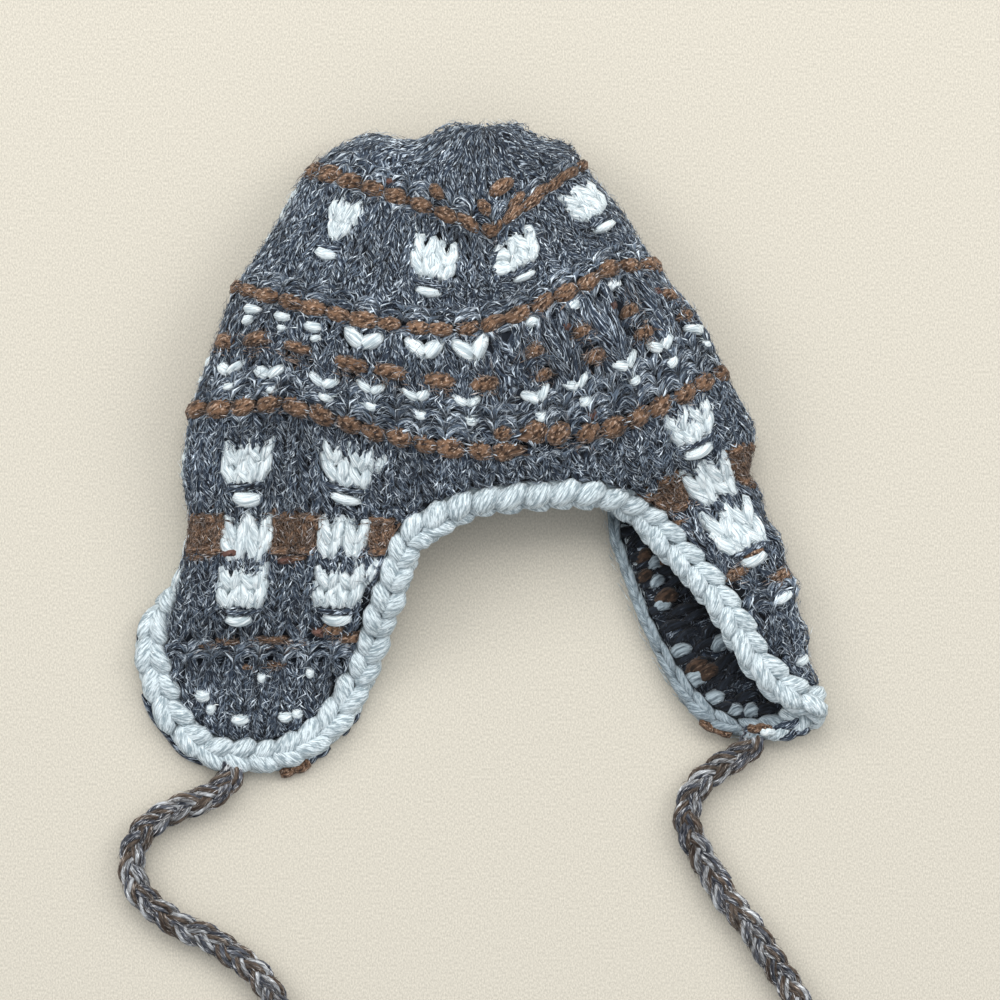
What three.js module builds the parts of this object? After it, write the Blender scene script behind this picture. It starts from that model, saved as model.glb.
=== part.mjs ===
// Earflap beanie, hand knitted in very thick wool, lying on its front with the back seam up.
//
// Millimetres, +Z up. The hat lies on the XY plane with its crown towards +Y and its ear flaps
// towards -Y. The origin is on that plane, under the middle of the hat without its ties.
//
// One surface describes the outside of the whole knit, cap and flaps together. It is read as
// knitSurface(wale, row). Wales are the columns of stitches, counted from the seam at the centre
// of the back: positive to the right, negative to the left, and 24 or -24 at the centre of the
// front. Rows are counted down from the gathered top of the crown.

import * as THREE from 'three';
import { ParametricGeometry } from 'three/addons/geometries/ParametricGeometry.js';
import { mergeVertices } from 'three/addons/utils/BufferGeometryUtils.js';

// Driving dimensions

const WALES = 48;             // stitches round the cap
const WALL = 8.6;             // thickness of the knit
const GAP = 0.3;              // clearance between touching pieces

const RIDGE_ROWS = [6, 13.3, 19.3];
const RIDGE_HEIGHT = 3;       // how far the purl ridges stand out
const GROOVE_DEPTH = 2.2;     // the sewn seam pulls the knit in
const GATHER_HEIGHT = 1.8;    // puckers round the gathered top
const GATHER_FOLDS = 9;
const GATHER_END_ROW = 5.4;

const FLAP_WALE = 10;         // the middle wale of each ear flap
const LAST_CAP_ROW = 22;      // below this row only the flaps go on
const FIRST_FLAP_ROW = 26;

const EDGING_WIDTH = 12.6;
const EDGING_THICKNESS = 9;

const TIE_DIAMETER = 13;
const TIE_SIDES = 10;
const TIE_STEPS = 30;
const KNOT_DIAMETER = 21;
const KNOT_LENGTH = 44;       // the knot with its tassel
const KNOT_SIDES = 12;

// The cap, a row for each section. left and right are the ends of the row where the cap folds
// over, height is its top and base its underside. dip is how far the row bows towards the flaps
// on the back, at dipX, with a sharper bow for a lower dipPower, and it fades out over reachLeft
// and reachRight. frontDip is the same bow on the front.
const CAP_SECTIONS = [
  { row: 0, leftX: 0, leftY: 142, rightX: 0, rightY: 142, height: 26, base: 26,
    seamX: 0, dipX: 0, dip: 0, dipPower: 1, reachLeft: 10, reachRight: 10, frontDip: 0 },
  { row: 1, leftX: -13, leftY: 142, rightX: 13, rightY: 142, height: 36, base: 15,
    seamX: 0, dipX: 0, dip: 5, dipPower: 1.6, reachLeft: 13, reachRight: 13, frontDip: 3 },
  { row: 2.2, leftX: -29, leftY: 139, rightX: 23, rightY: 136, height: 41, base: 7,
    seamX: 1, dipX: 0, dip: 13, dipPower: 1.4, reachLeft: 29, reachRight: 24, frontDip: 8 },
  { row: 3.6, leftX: -54, leftY: 137, rightX: 37, rightY: 132, height: 44, base: 1,
    seamX: 2, dipX: 1, dip: 22, dipPower: 1.2, reachLeft: 55, reachRight: 36, frontDip: 14 },
  { row: 6, leftX: -79, leftY: 120, rightX: 44, rightY: 123, height: 45, base: 0,
    seamX: 4, dipX: 3, dip: 31, dipPower: 0.9, reachLeft: 82, reachRight: 41, frontDip: 20 },
  { row: 9.6, leftX: -94, leftY: 94, rightX: 62, rightY: 101, height: 52, base: 0,
    seamX: 7, dipX: -5, dip: 29, dipPower: 1.2, reachLeft: 89, reachRight: 62, frontDip: 22 },
  { row: 13.3, leftX: -110, leftY: 70, rightX: 75, rightY: 80, height: 53, base: 0,
    seamX: 9, dipX: -12, dip: 25, dipPower: 1.5, reachLeft: 98, reachRight: 70, frontDip: 22 },
  { row: 16.3, leftX: -120, leftY: 43, rightX: 94, rightY: 57, height: 55, base: 0,
    seamX: 13, dipX: 4, dip: 27, dipPower: 1.6, reachLeft: 99, reachRight: 84, frontDip: 21 },
  { row: 19.3, leftX: -130, leftY: 15, rightX: 106, rightY: 32, height: 49, base: 0,
    seamX: 16, dipX: 16, dip: 29, dipPower: 1.7, reachLeft: 102, reachRight: 88, frontDip: 20 },
  { row: 22, leftX: -134, leftY: -7, rightX: 118, rightY: 11, height: 41, base: 0,
    seamX: 18, dipX: 16, dip: 27, dipPower: 1.8, reachLeft: 106, reachRight: 94, frontDip: 15 },
];

// The flaps, a row for each section. x, y and z place the flap's middle wale. From there the
// section runs outwards along the heading, falling by slope, and rolls under by turn over
// turnSpan wales round the wale turnAt. Past the roll it runs back along underHeading. Angles
// are in degrees and pitch is the width of a stitch.
const LEFT_FLAP_SECTIONS = [
  { row: 26, x: -95, y: -41, z: 30, heading: 0, underHeading: 0, slope: 8, turn: 155,
    turnAt: 13.9, turnSpan: 3.3, pitch: 10.8 },
  { row: 29.5, x: -98, y: -69, z: 24, heading: 0, underHeading: 0, slope: 5, turn: 95,
    turnAt: 14, turnSpan: 3.3, pitch: 10.8 },
  { row: 32, x: -100, y: -89, z: 14, heading: 0, underHeading: 0, slope: 2, turn: 30,
    turnAt: 14.4, turnSpan: 3.3, pitch: 10.8 },
  { row: 34, x: -102, y: -105, z: 9, heading: 0, underHeading: 0, slope: 0, turn: 0,
    turnAt: 15, turnSpan: 3.3, pitch: 10.8 },
  { row: 38, x: -105, y: -138, z: 8.6, heading: 0, underHeading: 0, slope: 0, turn: 0,
    turnAt: 16, turnSpan: 3, pitch: 10.8 },
];
const RIGHT_FLAP_SECTIONS = [
  { row: 26, x: 115, y: -22, z: 1, heading: 21, underHeading: 22, slope: 5, turn: 175,
    turnAt: 9, turnSpan: 3.8, pitch: 11.4 },
  { row: 30, x: 122, y: -56, z: 0, heading: 26, underHeading: 18, slope: 18, turn: 162,
    turnAt: 8.6, turnSpan: 2.8, pitch: 12.2 },
  { row: 34, x: 130, y: -89, z: 0, heading: 28, underHeading: 22, slope: 22, turn: 158,
    turnAt: 8.6, turnSpan: 2.8, pitch: 12.2 },
  { row: 38, x: 137, y: -123, z: 0, heading: 30, underHeading: 28, slope: 22, turn: 158,
    turnAt: 8.6, turnSpan: 2.8, pitch: 12.2 },
];

// The last knitted row, by how many wales away from the middle of a flap it is. It rounds the
// end of the flap, runs up its side and levels out into the rim.
const HEM = [
  { wales: 0, row: 37.3 },
  { wales: 1.2, row: 37.1 },
  { wales: 2.2, row: 36.4 },
  { wales: 3.0, row: 35.2 },
  { wales: 3.6, row: 33.6 },
  { wales: 4.1, row: 31.2 },
  { wales: 4.5, row: 28.8 },
  { wales: 5.0, row: 26.3 },
  { wales: 5.7, row: 24.2 },
  { wales: 6.6, row: 22.6 },
  { wales: 7.8, row: 21.7 },
  { wales: 9.0, row: 21.4 },
  { wales: 14, row: 21.2 },
];

// The section of the crocheted border. reach runs from the hem's face (0) to the outer side (1),
// level from the inside of the hat (-1) to its outside (1), and swell is 0 where the border is as
// thick as the knit that it joins and 1 where it has its own thickness.
const EDGING_SECTION = [
  { reach: 1, level: 0.4, swell: 1 },
  { reach: 0.75, level: 1, swell: 1 },
  { reach: 0.3, level: 1, swell: 1 },
  { reach: 0, level: 1, swell: 0 },
  { reach: 0, level: -1, swell: 0 },
  { reach: 0.3, level: -1, swell: 1 },
  { reach: 0.75, level: -1, swell: 1 },
  { reach: 1, level: -0.4, swell: 1 },
];

// How far the border reaches out from the hem, as a share of its width. Where the hem is folded
// under the right flap the border stands on its edge, so it is narrow there.
const BORDER_REACH = [
  { wale: 9.5, share: 1 },
  { wale: 10.5, share: 0.9 },
  { wale: 11.2, share: 0.7 },
  { wale: 12, share: 0.55 },
  { wale: 13, share: 0.62 },
  { wale: 14, share: 0.4 },
  { wale: 15, share: 0.35 },
  { wale: 16, share: 0.4 },
  { wale: 17.5, share: 1 },
];

// The routes of the ties, from the flap's edge to the knot, through points chosen along them.
const TIE_LEFT_ROUTE = [
  [-112.5, -148.2], [-117, -153], [-124.5, -157.5], [-134, -161], [-142, -164.5], [-151.5, -171],
  [-157, -181], [-157.5, -191], [-154, -200], [-148, -206], [-135.5, -215], [-123, -220],
  [-113, -227], [-103, -234.5], [-97, -242], [-92, -251], [-85, -264], [-76, -277],
  [-64, -289], [-50, -299], [-35, -307], [-19, -313],
];
const TIE_RIGHT_ROUTE = [
  [119.5, -135.9], [112.5, -139.2], [104.5, -143.8], [97, -149.8], [92, -157], [90, -166],
  [92, -174.5], [97, -184], [102, -193], [107, -201.5], [113.5, -209], [120, -217],
  [125, -225.5], [131, -234], [137, -243], [141, -251], [148, -263], [153, -277], [154, -292], [151, -306.5],
  [144, -320], [134, -331], [122, -340], [108, -346],
];

// Reading the tables

// The value of one column between the rows of a table, along a smooth curve through them all.
function readTable(table, column, place, axis = 'row') {
  const last = table.length - 1;
  if (place <= table[0][axis]) return table[0][column];
  if (place >= table[last][axis]) return table[last][column];
  const i = table.findIndex((entry) => entry[axis] > place) - 1;
  const [x0, x1] = [table[i][axis], table[i + 1][axis]];
  const [y0, y1] = [table[i][column], table[i + 1][column]];
  const slopeAt = (k) => {
    const before = table[Math.max(k - 1, 0)];
    const after = table[Math.min(k + 1, last)];
    return (after[column] - before[column]) / (after[axis] - before[axis]);
  };
  return hermite(y0, slopeAt(i) * (x1 - x0), y1, slopeAt(i + 1) * (x1 - x0),
    (place - x0) / (x1 - x0));
}

function hermite(start, startSlope, end, endSlope, t) {
  const t2 = t * t;
  const t3 = t2 * t;
  return start * (2 * t3 - 3 * t2 + 1) + startSlope * (t3 - 2 * t2 + t)
    + end * (3 * t2 - 2 * t3) + endSlope * (t3 - t2);
}

const smoothStep = (t) => THREE.MathUtils.smoothstep(t, 0, 1);

// The surface of the cap: each row is a closed loop, flat where it lies on the floor

const LOOP_POINTS = 240;
const FOLD_LEVEL = 0.42;      // height of the folded sides, as a share of the section's height
const SIDE_POWER = 2 / 2.6;   // fullness of the section sideways
const TOP_POWER = 2 / 2.2;    // fullness of its domed top
const UNDER_POWER = 0.5;      // sharpness of the turn on to the floor
const UNDER_PRESS = 1.2;      // more than 1 presses the underside flat

// How far a section's row bows at x, as a share of its dip.
function bowShare(section, x) {
  const reach = x < section.dipX ? section.reachLeft : section.reachRight;
  const away = Math.abs(x - section.dipX) / reach;
  return away < 1 ? 1 - away ** section.dipPower : 0;
}

function loopPoint(section, angle) {
  const { leftX, leftY, rightX, rightY, height, base, dip, frontDip } = section;
  const [cos, sin] = [Math.cos(angle), Math.sin(angle)];
  const across = Math.sign(cos) * Math.abs(cos) ** SIDE_POWER;
  const x = (leftX + rightX) / 2 + across * (rightX - leftX) / 2;
  const chordY = (leftY + rightY) / 2 + across * (rightY - leftY) / 2;
  const foldZ = base + FOLD_LEVEL * (height - base);
  const z = sin >= 0
    ? foldZ + (height - foldZ) * sin ** TOP_POWER
    : Math.max(base, foldZ - (foldZ - base) * UNDER_PRESS * (-sin) ** UNDER_POWER);
  const bow = sin >= 0 ? dip : frontDip;
  return new THREE.Vector3(x, chordY - bow * bowShare(section, x), z);
}

// A row's loop with the running length at each of its points and at the seam.
const loops = new Map();
function capLoop(row) {
  if (loops.has(row)) return loops.get(row);
  const section = {};
  for (const column of Object.keys(CAP_SECTIONS[0])) {
    section[column] = readTable(CAP_SECTIONS, column, row);
  }
  const points = [];
  const lengths = [0];
  let seamLength = 0;
  for (let i = 0; i <= LOOP_POINTS; i++) {
    points.push(loopPoint(section, 2 * Math.PI * i / LOOP_POINTS));
    if (i === 0) continue;
    const step = points[i].distanceTo(points[i - 1]);
    const crossesSeam = points[i].x <= section.seamX && points[i - 1].x > section.seamX;
    if (crossesSeam && i <= LOOP_POINTS / 2) {
      const share = (points[i - 1].x - section.seamX) / (points[i - 1].x - points[i].x);
      seamLength = lengths[i - 1] + share * step;
    }
    lengths.push(lengths[i - 1] + step);
  }
  const loop = { points, lengths, seamLength, girth: lengths[LOOP_POINTS] };
  loops.set(row, loop);
  return loop;
}

function capPoint(wale, row) {
  const { points, lengths, seamLength, girth } = capLoop(row);
  const along = THREE.MathUtils.euclideanModulo(seamLength - wale * girth / WALES, girth || 1);
  let i = 1;
  while (i < LOOP_POINTS && lengths[i] < along) i++;
  const step = lengths[i] - lengths[i - 1];
  return new THREE.Vector3().lerpVectors(points[i - 1], points[i],
    step > 0 ? (along - lengths[i - 1]) / step : 0);
}

// The surface of a flap: each row runs outwards from the back edge and may roll under

const WALE_STEP = 0.25;       // how finely a flap's row is followed, in wales

function flapPoint(wale, row) {
  const side = Math.sign(wale);
  const table = side < 0 ? LEFT_FLAP_SECTIONS : RIGHT_FLAP_SECTIONS;
  const read = (column) => readTable(table, column, row);
  const [turn, turnAt, turnSpan, slope] = [read('turn'), read('turnAt'), read('turnSpan'),
    read('slope')];
  const [heading, underHeading, pitch] = [read('heading'), read('underHeading'), read('pitch')];
  const point = new THREE.Vector3(read('x'), read('y'), read('z'));
  const distance = Math.abs(wale) - FLAP_WALE;
  const steps = Math.max(1, Math.ceil(Math.abs(distance) / WALE_STEP));
  const stepLength = distance * pitch / steps;
  for (let i = 0; i < steps; i++) {
    const here = FLAP_WALE + distance * (i + 0.5) / steps;
    const rolled = smoothStep((here - turnAt) / turnSpan + 0.5);
    const fall = THREE.MathUtils.degToRad(slope + turn * rolled);
    const aim = THREE.MathUtils.degToRad(THREE.MathUtils.lerp(heading, underHeading, rolled));
    point.x += stepLength * Math.cos(fall) * Math.cos(aim) * side;
    point.y += stepLength * Math.cos(fall) * Math.sin(aim);
    point.z -= stepLength * Math.sin(fall);
  }
  return point;
}

// The outside of the whole knit, smooth, without ridges or puckers.
const ROW_STEP = 0.25;
function knitSurface(wale, row) {
  if (row <= LAST_CAP_ROW) return capPoint(wale, row);
  if (row >= FIRST_FLAP_ROW) return flapPoint(wale, row);
  const span = FIRST_FLAP_ROW - LAST_CAP_ROW;
  const start = capPoint(wale, LAST_CAP_ROW);
  const startSlope = start.clone().sub(capPoint(wale, LAST_CAP_ROW - ROW_STEP))
    .multiplyScalar(span / ROW_STEP);
  const end = flapPoint(wale, FIRST_FLAP_ROW);
  const endSlope = flapPoint(wale, FIRST_FLAP_ROW + ROW_STEP).sub(end)
    .multiplyScalar(span / ROW_STEP);
  const t = (row - LAST_CAP_ROW) / span;
  const point = new THREE.Vector3();
  for (const axis of ['x', 'y', 'z']) {
    point[axis] = hermite(start[axis], startSlope[axis], end[axis], endSlope[axis], t);
  }
  return point;
}

// A point of the surface with the direction that faces outwards there.
const CROWN_NORMAL = new THREE.Vector3(0, 1, 0.2).normalize();
function knitFrame(wale, row) {
  const point = knitSurface(wale, row);
  if (row < ROW_STEP) return { point, normal: CROWN_NORMAL };
  const across = knitSurface(wale + WALE_STEP, row).sub(knitSurface(wale - WALE_STEP, row));
  const down = knitSurface(wale, row + ROW_STEP).sub(knitSurface(wale, row - ROW_STEP));
  const normal = new THREE.Vector3().crossVectors(down, across).normalize();
  return { point, normal };
}

// The thickness of the knit: full, but squeezed where it folds over more sharply than it is thick.
const FOLD_WALES = 1;
const FOLD_ROWS = 0.8;
const FOLD_SHARE = 0.6;       // thickness over the radius of a sharp fold
function wallAt(wale, row) {
  if (row < GATHER_END_ROW) return WALL;
  const bend = (from, to) => {
    const apart = new THREE.Vector3().subVectors(to.point, from.point);
    const turned = new THREE.Vector3().subVectors(to.normal, from.normal);
    return turned.dot(apart) / apart.lengthSq();
  };
  const sharpest = Math.max(
    bend(knitFrame(wale - FOLD_WALES, row), knitFrame(wale + FOLD_WALES, row)),
    bend(knitFrame(wale, row - FOLD_ROWS), knitFrame(wale, row + FOLD_ROWS)));
  return sharpest > FOLD_SHARE / WALL ? FOLD_SHARE / sharpest : WALL;
}

function hemRow(wale) {
  return readTable(HEM, 'row', Math.abs(Math.abs(wale) - FLAP_WALE), 'wales');
}

// How far the outside of the knit stands off the smooth surface.
const RIDGE_REACH = 0.7;      // rows
const GROOVE_REACH = 1;       // wales
const RIDGE_FADE = 10;        // ridges are pressed flat below this height
function relief(wale, row, z) {
  const near = (distance, reach) => Math.max(0, 1 - (distance / reach) ** 2);
  let height = 0;
  for (const ridgeRow of RIDGE_ROWS) {
    height += RIDGE_HEIGHT * near(row - ridgeRow, RIDGE_REACH);
  }
  if (row < GATHER_END_ROW) {
    height += GATHER_HEIGHT * Math.sin(Math.PI * row / GATHER_END_ROW)
      * Math.cos(2 * Math.PI * GATHER_FOLDS * wale / WALES);
  }
  if (row > GATHER_END_ROW) height -= GROOVE_DEPTH * near(wale, GROOVE_REACH);
  return height * smoothStep(z / RIDGE_FADE);
}

// The grid of the solids: wales close together where the hem turns and where the cap folds

const FLAP_WALE_OFFSETS = [0, 0.6, 1.2, 1.7, 2.2, 3.0, 3.6, 4.1, 4.3, 4.5, 5.0, 5.7, 6.6, 7.8];
const ROLLED_EDGE_WALES = [-16.1, -15.4, -15.2, -14.8, -14.65, -14.4, -14.2, -13.85, 4.6, 4.8, 5.2,
  5.35, 8.1, 8.6, 9.1, 9.7];
const REAR_WALES = [-0.8, 0, 0.8];
const FRONT_WALES = [19.4, 21, 22.5, 24];
const FULL_ROWS = [0, 0.6, 1.3, 2.2, 3.2, 4.3, 5.4, 6, 6.6, 8.5, 10.8, 12.7, 13.3, 13.9,
  15.5, 17.2, 18.7, 19.3, 19.9];
const LOWER_SHARES = [0.1, 0.22, 0.36, 0.5, 0.64, 0.76, 0.88, 1];

function gridWales() {
  const wales = [...REAR_WALES, ...ROLLED_EDGE_WALES];
  for (const side of [-1, 1]) {
    for (const offset of FLAP_WALE_OFFSETS) {
      wales.push(side * (FLAP_WALE + offset));
      if (offset > 0) wales.push(side * (FLAP_WALE - offset));
    }
    for (const wale of FRONT_WALES) wales.push(side * wale);
  }
  return [...new Set(wales)].sort((a, b) => a - b).slice(0, -1);   // -24 and 24 are one wale
}

// The rows of the grid at one wale, from the gathered top to the hem.
function gridRows(wale) {
  const start = FULL_ROWS[FULL_ROWS.length - 1];
  const lower = LOWER_SHARES.map((share) => start + share * (hemRow(wale) - start));
  return [...FULL_ROWS, ...lower];
}

// Building the solids

// Joins the seams of a parametric surface and drops the empty triangles at its poles. Each patch
// is two triangles, and mirrored patches are split along their other diagonal.
function closedGeometry(surfacePoint, around, along, mirrored = false) {
  const surface = new ParametricGeometry((u, v, target) => {
    target.copy(surfacePoint(Math.round(u * around) % around, Math.round(v * along)));
  }, around, along);
  surface.deleteAttribute('normal');
  surface.deleteAttribute('uv');
  const welded = mergeVertices(surface, 1e-3);
  const kept = [];
  for (let i = 0; i < welded.index.count; i += 6) {
    const [a, b, d, , c] = [0, 1, 2, 3, 4].map((k) => welded.index.getX(i + k));
    const patch = mirrored ? [[a, b, c], [a, c, d]] : [[a, b, d], [b, c, d]];
    kept.push(...patch.filter((corners) => new Set(corners).size === 3).flat());
  }
  welded.setIndex(kept);
  welded.computeVertexNormals();
  return welded;
}

const onFloor = (point) => point.setZ(Math.max(0, point.z));

// The point of the inside that lies under a point of the outside. Near the gathered top it is
// found towards the middle of the crown, because the surface turns sharply there.
const CROWN_MIDDLE = new THREE.Vector3(-8, 95, 23);
const CROWN_ROWS = { from: 3.6, to: 12.6 };   // over these rows the inside turns to the normal
function insidePoint({ point, normal }, wale, row) {
  const inwards = new THREE.Vector3().subVectors(CROWN_MIDDLE, point).normalize();
  const turned = smoothStep((row - CROWN_ROWS.from) / (CROWN_ROWS.to - CROWN_ROWS.from));
  inwards.lerp(normal.clone().negate(), turned).normalize();
  return onFloor(point.clone().addScaledVector(inwards, wallAt(wale, row)));
}

// Both faces of the knit at one place, with its ridges, groove and puckers.
function knitFaces(wale, row) {
  const frame = knitFrame(wale, row);
  const inside = insidePoint(frame, wale, row);
  const outside = onFloor(frame.point.clone().addScaledVector(frame.normal,
    relief(wale, row, frame.point.z)));
  return { outside, inside };
}

// The knit: down the outside from the crown to the hem, then back up the inside.
function knitBodyGeometry() {
  const columns = gridWales().map((wale) => {
    const faces = gridRows(wale).map((row) => knitFaces(wale, row));
    return [...faces.map((face) => face.outside), ...faces.reverse().map((face) => face.inside)];
  });
  columns.reverse();
  return closedGeometry((i, j) => columns[i][j], columns.length, columns[0].length - 1);
}

// The crocheted border: a section carried round the hem, clear of the hem's face. Its patches
// mirror the knit's, so that both faces twist alike where the hem rolls.
function edgingGeometry() {
  const hem = gridWales().map((wale) => {
    const { outside, inside } = knitFaces(wale, hemRow(wale));
    const upwards = new THREE.Vector3().subVectors(outside, inside);
    return {
      middle: new THREE.Vector3().lerpVectors(outside, inside, 0.5),
      wall: upwards.length(),
      upwards: upwards.normalize(),
    };
  });
  const count = hem.length;
  const outwards = hem.map(({ upwards }, i) => {
    const along = new THREE.Vector3().subVectors(
      hem[(i + 1) % count].middle, hem[(i + count - 1) % count].middle);
    return new THREE.Vector3().crossVectors(along, upwards).normalize();
  });
  const shares = gridWales().map((wale) => readTable(BORDER_REACH, 'share', wale, 'wale'));
  return closedGeometry((i, j) => {
    const { reach, level, swell } = EDGING_SECTION[j % EDGING_SECTION.length];
    const { middle, wall, upwards } = hem[i];
    const thickness = THREE.MathUtils.lerp(wall, EDGING_THICKNESS, swell);
    return onFloor(middle.clone()
      .addScaledVector(outwards[i], GAP + reach * EDGING_WIDTH * shares[i])
      .addScaledVector(upwards, level * thickness / 2));
  }, count, EDGING_SECTION.length, true);
}

function tieCurve(route) {
  return new THREE.CatmullRomCurve3(route.map(([x, y]) =>
    new THREE.Vector3(x, y, TIE_DIAMETER / 2)));
}

function tieGeometry(route) {
  const section = new THREE.Shape();
  section.absarc(0, 0, TIE_DIAMETER / 2, 0, 2 * Math.PI);
  return new THREE.ExtrudeGeometry(section, {
    extrudePath: tieCurve(route), steps: TIE_STEPS, curveSegments: TIE_SIDES / 2,
  });
}

// The knot at the end of a tie, a round turn with the cut ends flaring out of it.
const KNOT_PROFILE = [
  { along: 0, width: 0 },
  { along: 0, width: 0.5 },
  { along: 0.1, width: 0.86 },
  { along: 0.25, width: 1 },
  { along: 0.4, width: 0.84 },
  { along: 0.5, width: 0.5 },
  { along: 0.62, width: 0.6 },
  { along: 0.85, width: 0.68 },
  { along: 1, width: 0.56 },
  { along: 1, width: 0 },
];

function knotGeometry() {
  const profile = KNOT_PROFILE.map(({ along, width }) =>
    new THREE.Vector2(width * KNOT_DIAMETER / 2, along * KNOT_LENGTH));
  return new THREE.LatheGeometry(profile, KNOT_SIDES);
}

// Materials

const yarn = (color) => new THREE.MeshStandardMaterial({ color, roughness: 0.95, metalness: 0 });
const heatherYarn = yarn(0x6d747c);
const iceYarn = yarn(0xc3ced6);
const braidYarn = yarn(0x6a625a);

// The hat

function named(name, geometry, material) {
  const mesh = new THREE.Mesh(geometry, material);
  mesh.name = name;
  return mesh;
}

function addTie(hat, name, route) {
  hat.add(named(name, tieGeometry(route), braidYarn));
  const knot = named(`${name}_knot`, knotGeometry(), braidYarn);
  const curve = tieCurve(route);
  const heading = curve.getTangent(1);
  knot.quaternion.setFromUnitVectors(new THREE.Vector3(0, 1, 0), heading);
  knot.position.copy(curve.getPoint(1)).addScaledVector(heading, GAP);
  knot.position.z = Math.max(knot.position.z, KNOT_DIAMETER / 2);
  hat.add(knot);
}

const hat = new THREE.Group();
hat.add(named('knit_body', knitBodyGeometry(), heatherYarn));
hat.add(named('edging', edgingGeometry(), iceYarn));
addTie(hat, 'tie_left', TIE_LEFT_ROUTE);
addTie(hat, 'tie_right', TIE_RIGHT_ROUTE);

export default hat;
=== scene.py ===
# %% [markdown]
# # A hand-knitted earflap beanie
#
# The hat lies on its front with the back seam up, its left flap flat and its right flap folded
# like a gutter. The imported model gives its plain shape. Here every stitch of the knit, the
# crocheted border, the two braided ties and the fuzz of the wool are put on that shape.
# Lengths are in millimetres until a piece is finished, and in metres after that. Wales are the
# columns of stitches, and rows go round the hat.

# %% Load the frame
import math

import bmesh
import bpy
import numpy as np
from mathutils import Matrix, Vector


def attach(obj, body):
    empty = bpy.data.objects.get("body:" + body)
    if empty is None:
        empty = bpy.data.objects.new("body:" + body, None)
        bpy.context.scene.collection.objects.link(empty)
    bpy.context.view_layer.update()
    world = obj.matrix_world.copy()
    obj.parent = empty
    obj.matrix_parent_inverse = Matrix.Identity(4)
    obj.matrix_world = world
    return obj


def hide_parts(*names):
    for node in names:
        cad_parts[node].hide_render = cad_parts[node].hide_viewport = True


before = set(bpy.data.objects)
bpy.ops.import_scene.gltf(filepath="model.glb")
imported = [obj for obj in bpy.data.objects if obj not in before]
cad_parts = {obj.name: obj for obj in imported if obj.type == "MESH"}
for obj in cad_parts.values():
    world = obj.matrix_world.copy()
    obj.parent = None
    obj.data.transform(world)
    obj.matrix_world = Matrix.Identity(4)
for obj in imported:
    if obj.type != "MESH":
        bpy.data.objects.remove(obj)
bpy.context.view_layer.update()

MM = 0.001
rng = np.random.default_rng(48)
print("nodes to dress:", sorted(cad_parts))

# %% [markdown]
# ## The camera
#
# The photograph was taken from straight above. A long lens from far away keeps the hat's sides
# upright. Height over the table and focal length are chosen together, so that the picture is
# 444 mm wide where the hat lies.

# %% Camera
VIEW_MIDDLE = (6.66, -24.42)
VIEW_WIDTH = 444.0
VIEW_LEVEL = 20.0
CAMERA_HEIGHT = 2600.0
SENSOR = 36.0

scene = bpy.context.scene
camera_data = bpy.data.cameras.new("overhead_camera")
camera_data.sensor_width = SENSOR
camera_data.lens = SENSOR * (CAMERA_HEIGHT - VIEW_LEVEL) / VIEW_WIDTH
camera = bpy.data.objects.new("overhead_camera", camera_data)
scene.collection.objects.link(camera)
camera.location = (VIEW_MIDDLE[0] * MM, VIEW_MIDDLE[1] * MM, CAMERA_HEIGHT * MM)
scene.camera = camera
scene.view_settings.view_transform = "Standard"
print(f"lens {camera_data.lens:.0f} mm")

# %% [markdown]
# ## A tube, the one shape that all yarn is made of
#
# A strand of wool is a round tube that follows a line. A curve with a bevel would do for one
# strand, but here each tube becomes a pattern that is copied many times, so it is made from an
# operator's grid: the grid is rolled up round the line, its long seam is merged, and its first
# and last rows are drawn together into the closed ends.

# %% Tube helper
UV_NAME = "yarn"      # u runs along the yarn and v round it, both in centimetres


def unit(vectors):
    return vectors / np.maximum(np.linalg.norm(vectors, axis=-1, keepdims=True), 1e-12)


def running_length(points):
    steps = np.linalg.norm(np.diff(points, axis=0), axis=1)
    return np.concatenate([[0.0], np.cumsum(steps)])


def yarn_tube(points, radius, sides, up=(0, 0, 1), width=1.0, ends=0.0):
    """A closed tube along points. ends is how far the closed ends are domed, in radii."""
    points = np.asarray(points, float)
    radius = np.broadcast_to(np.asarray(radius, float), len(points))
    tangent = unit(np.gradient(points, axis=0))
    up = np.broadcast_to(np.asarray(up, float), points.shape)
    side = unit(np.cross(up, tangent))
    over = np.cross(tangent, side)
    first = points[0] - tangent[0] * radius[0] * ends
    last = points[-1] + tangent[-1] * radius[-1] * ends
    rows = len(points) + 2
    bm = bmesh.new()
    uv = bm.loops.layers.uv.new(UV_NAME)
    bmesh.ops.create_grid(bm, x_segments=rows - 1, y_segments=sides, size=0.5)
    centre = np.vstack([first, points, last])
    around = np.concatenate([[0.0], radius, [0.0]])
    side = np.vstack([side[:1], side, side[-1:]])
    over = np.vstack([over[:1], over, over[-1:]])
    along = running_length(centre) / 10
    girth = 2 * math.pi * radius.mean() / 10
    places = {}
    for vert in bm.verts:
        i = round((vert.co.x + 0.5) * (rows - 1))
        j = round((vert.co.y + 0.5) * sides)
        places[vert.index] = (i, j)
    bm.verts.index_update()
    for face in bm.faces:
        for loop in face.loops:
            i, j = places[loop.vert.index]
            loop[uv].uv = (along[i], girth * j / sides)
    for vert in bm.verts:
        i, j = places[vert.index]
        turn = 2 * math.pi * j / sides
        vert.co = (centre[i] + around[i] * (side[i] * math.cos(turn) * width
                                            + over[i] * math.sin(turn)))
    bmesh.ops.remove_doubles(bm, verts=bm.verts, dist=1e-4)
    bmesh.ops.recalc_face_normals(bm, faces=bm.faces)
    return bm


def as_mesh(bm, name):
    mesh = bpy.data.meshes.new(name)
    bm.to_mesh(mesh)
    bm.free()
    mesh.shade_smooth()
    return mesh


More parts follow.
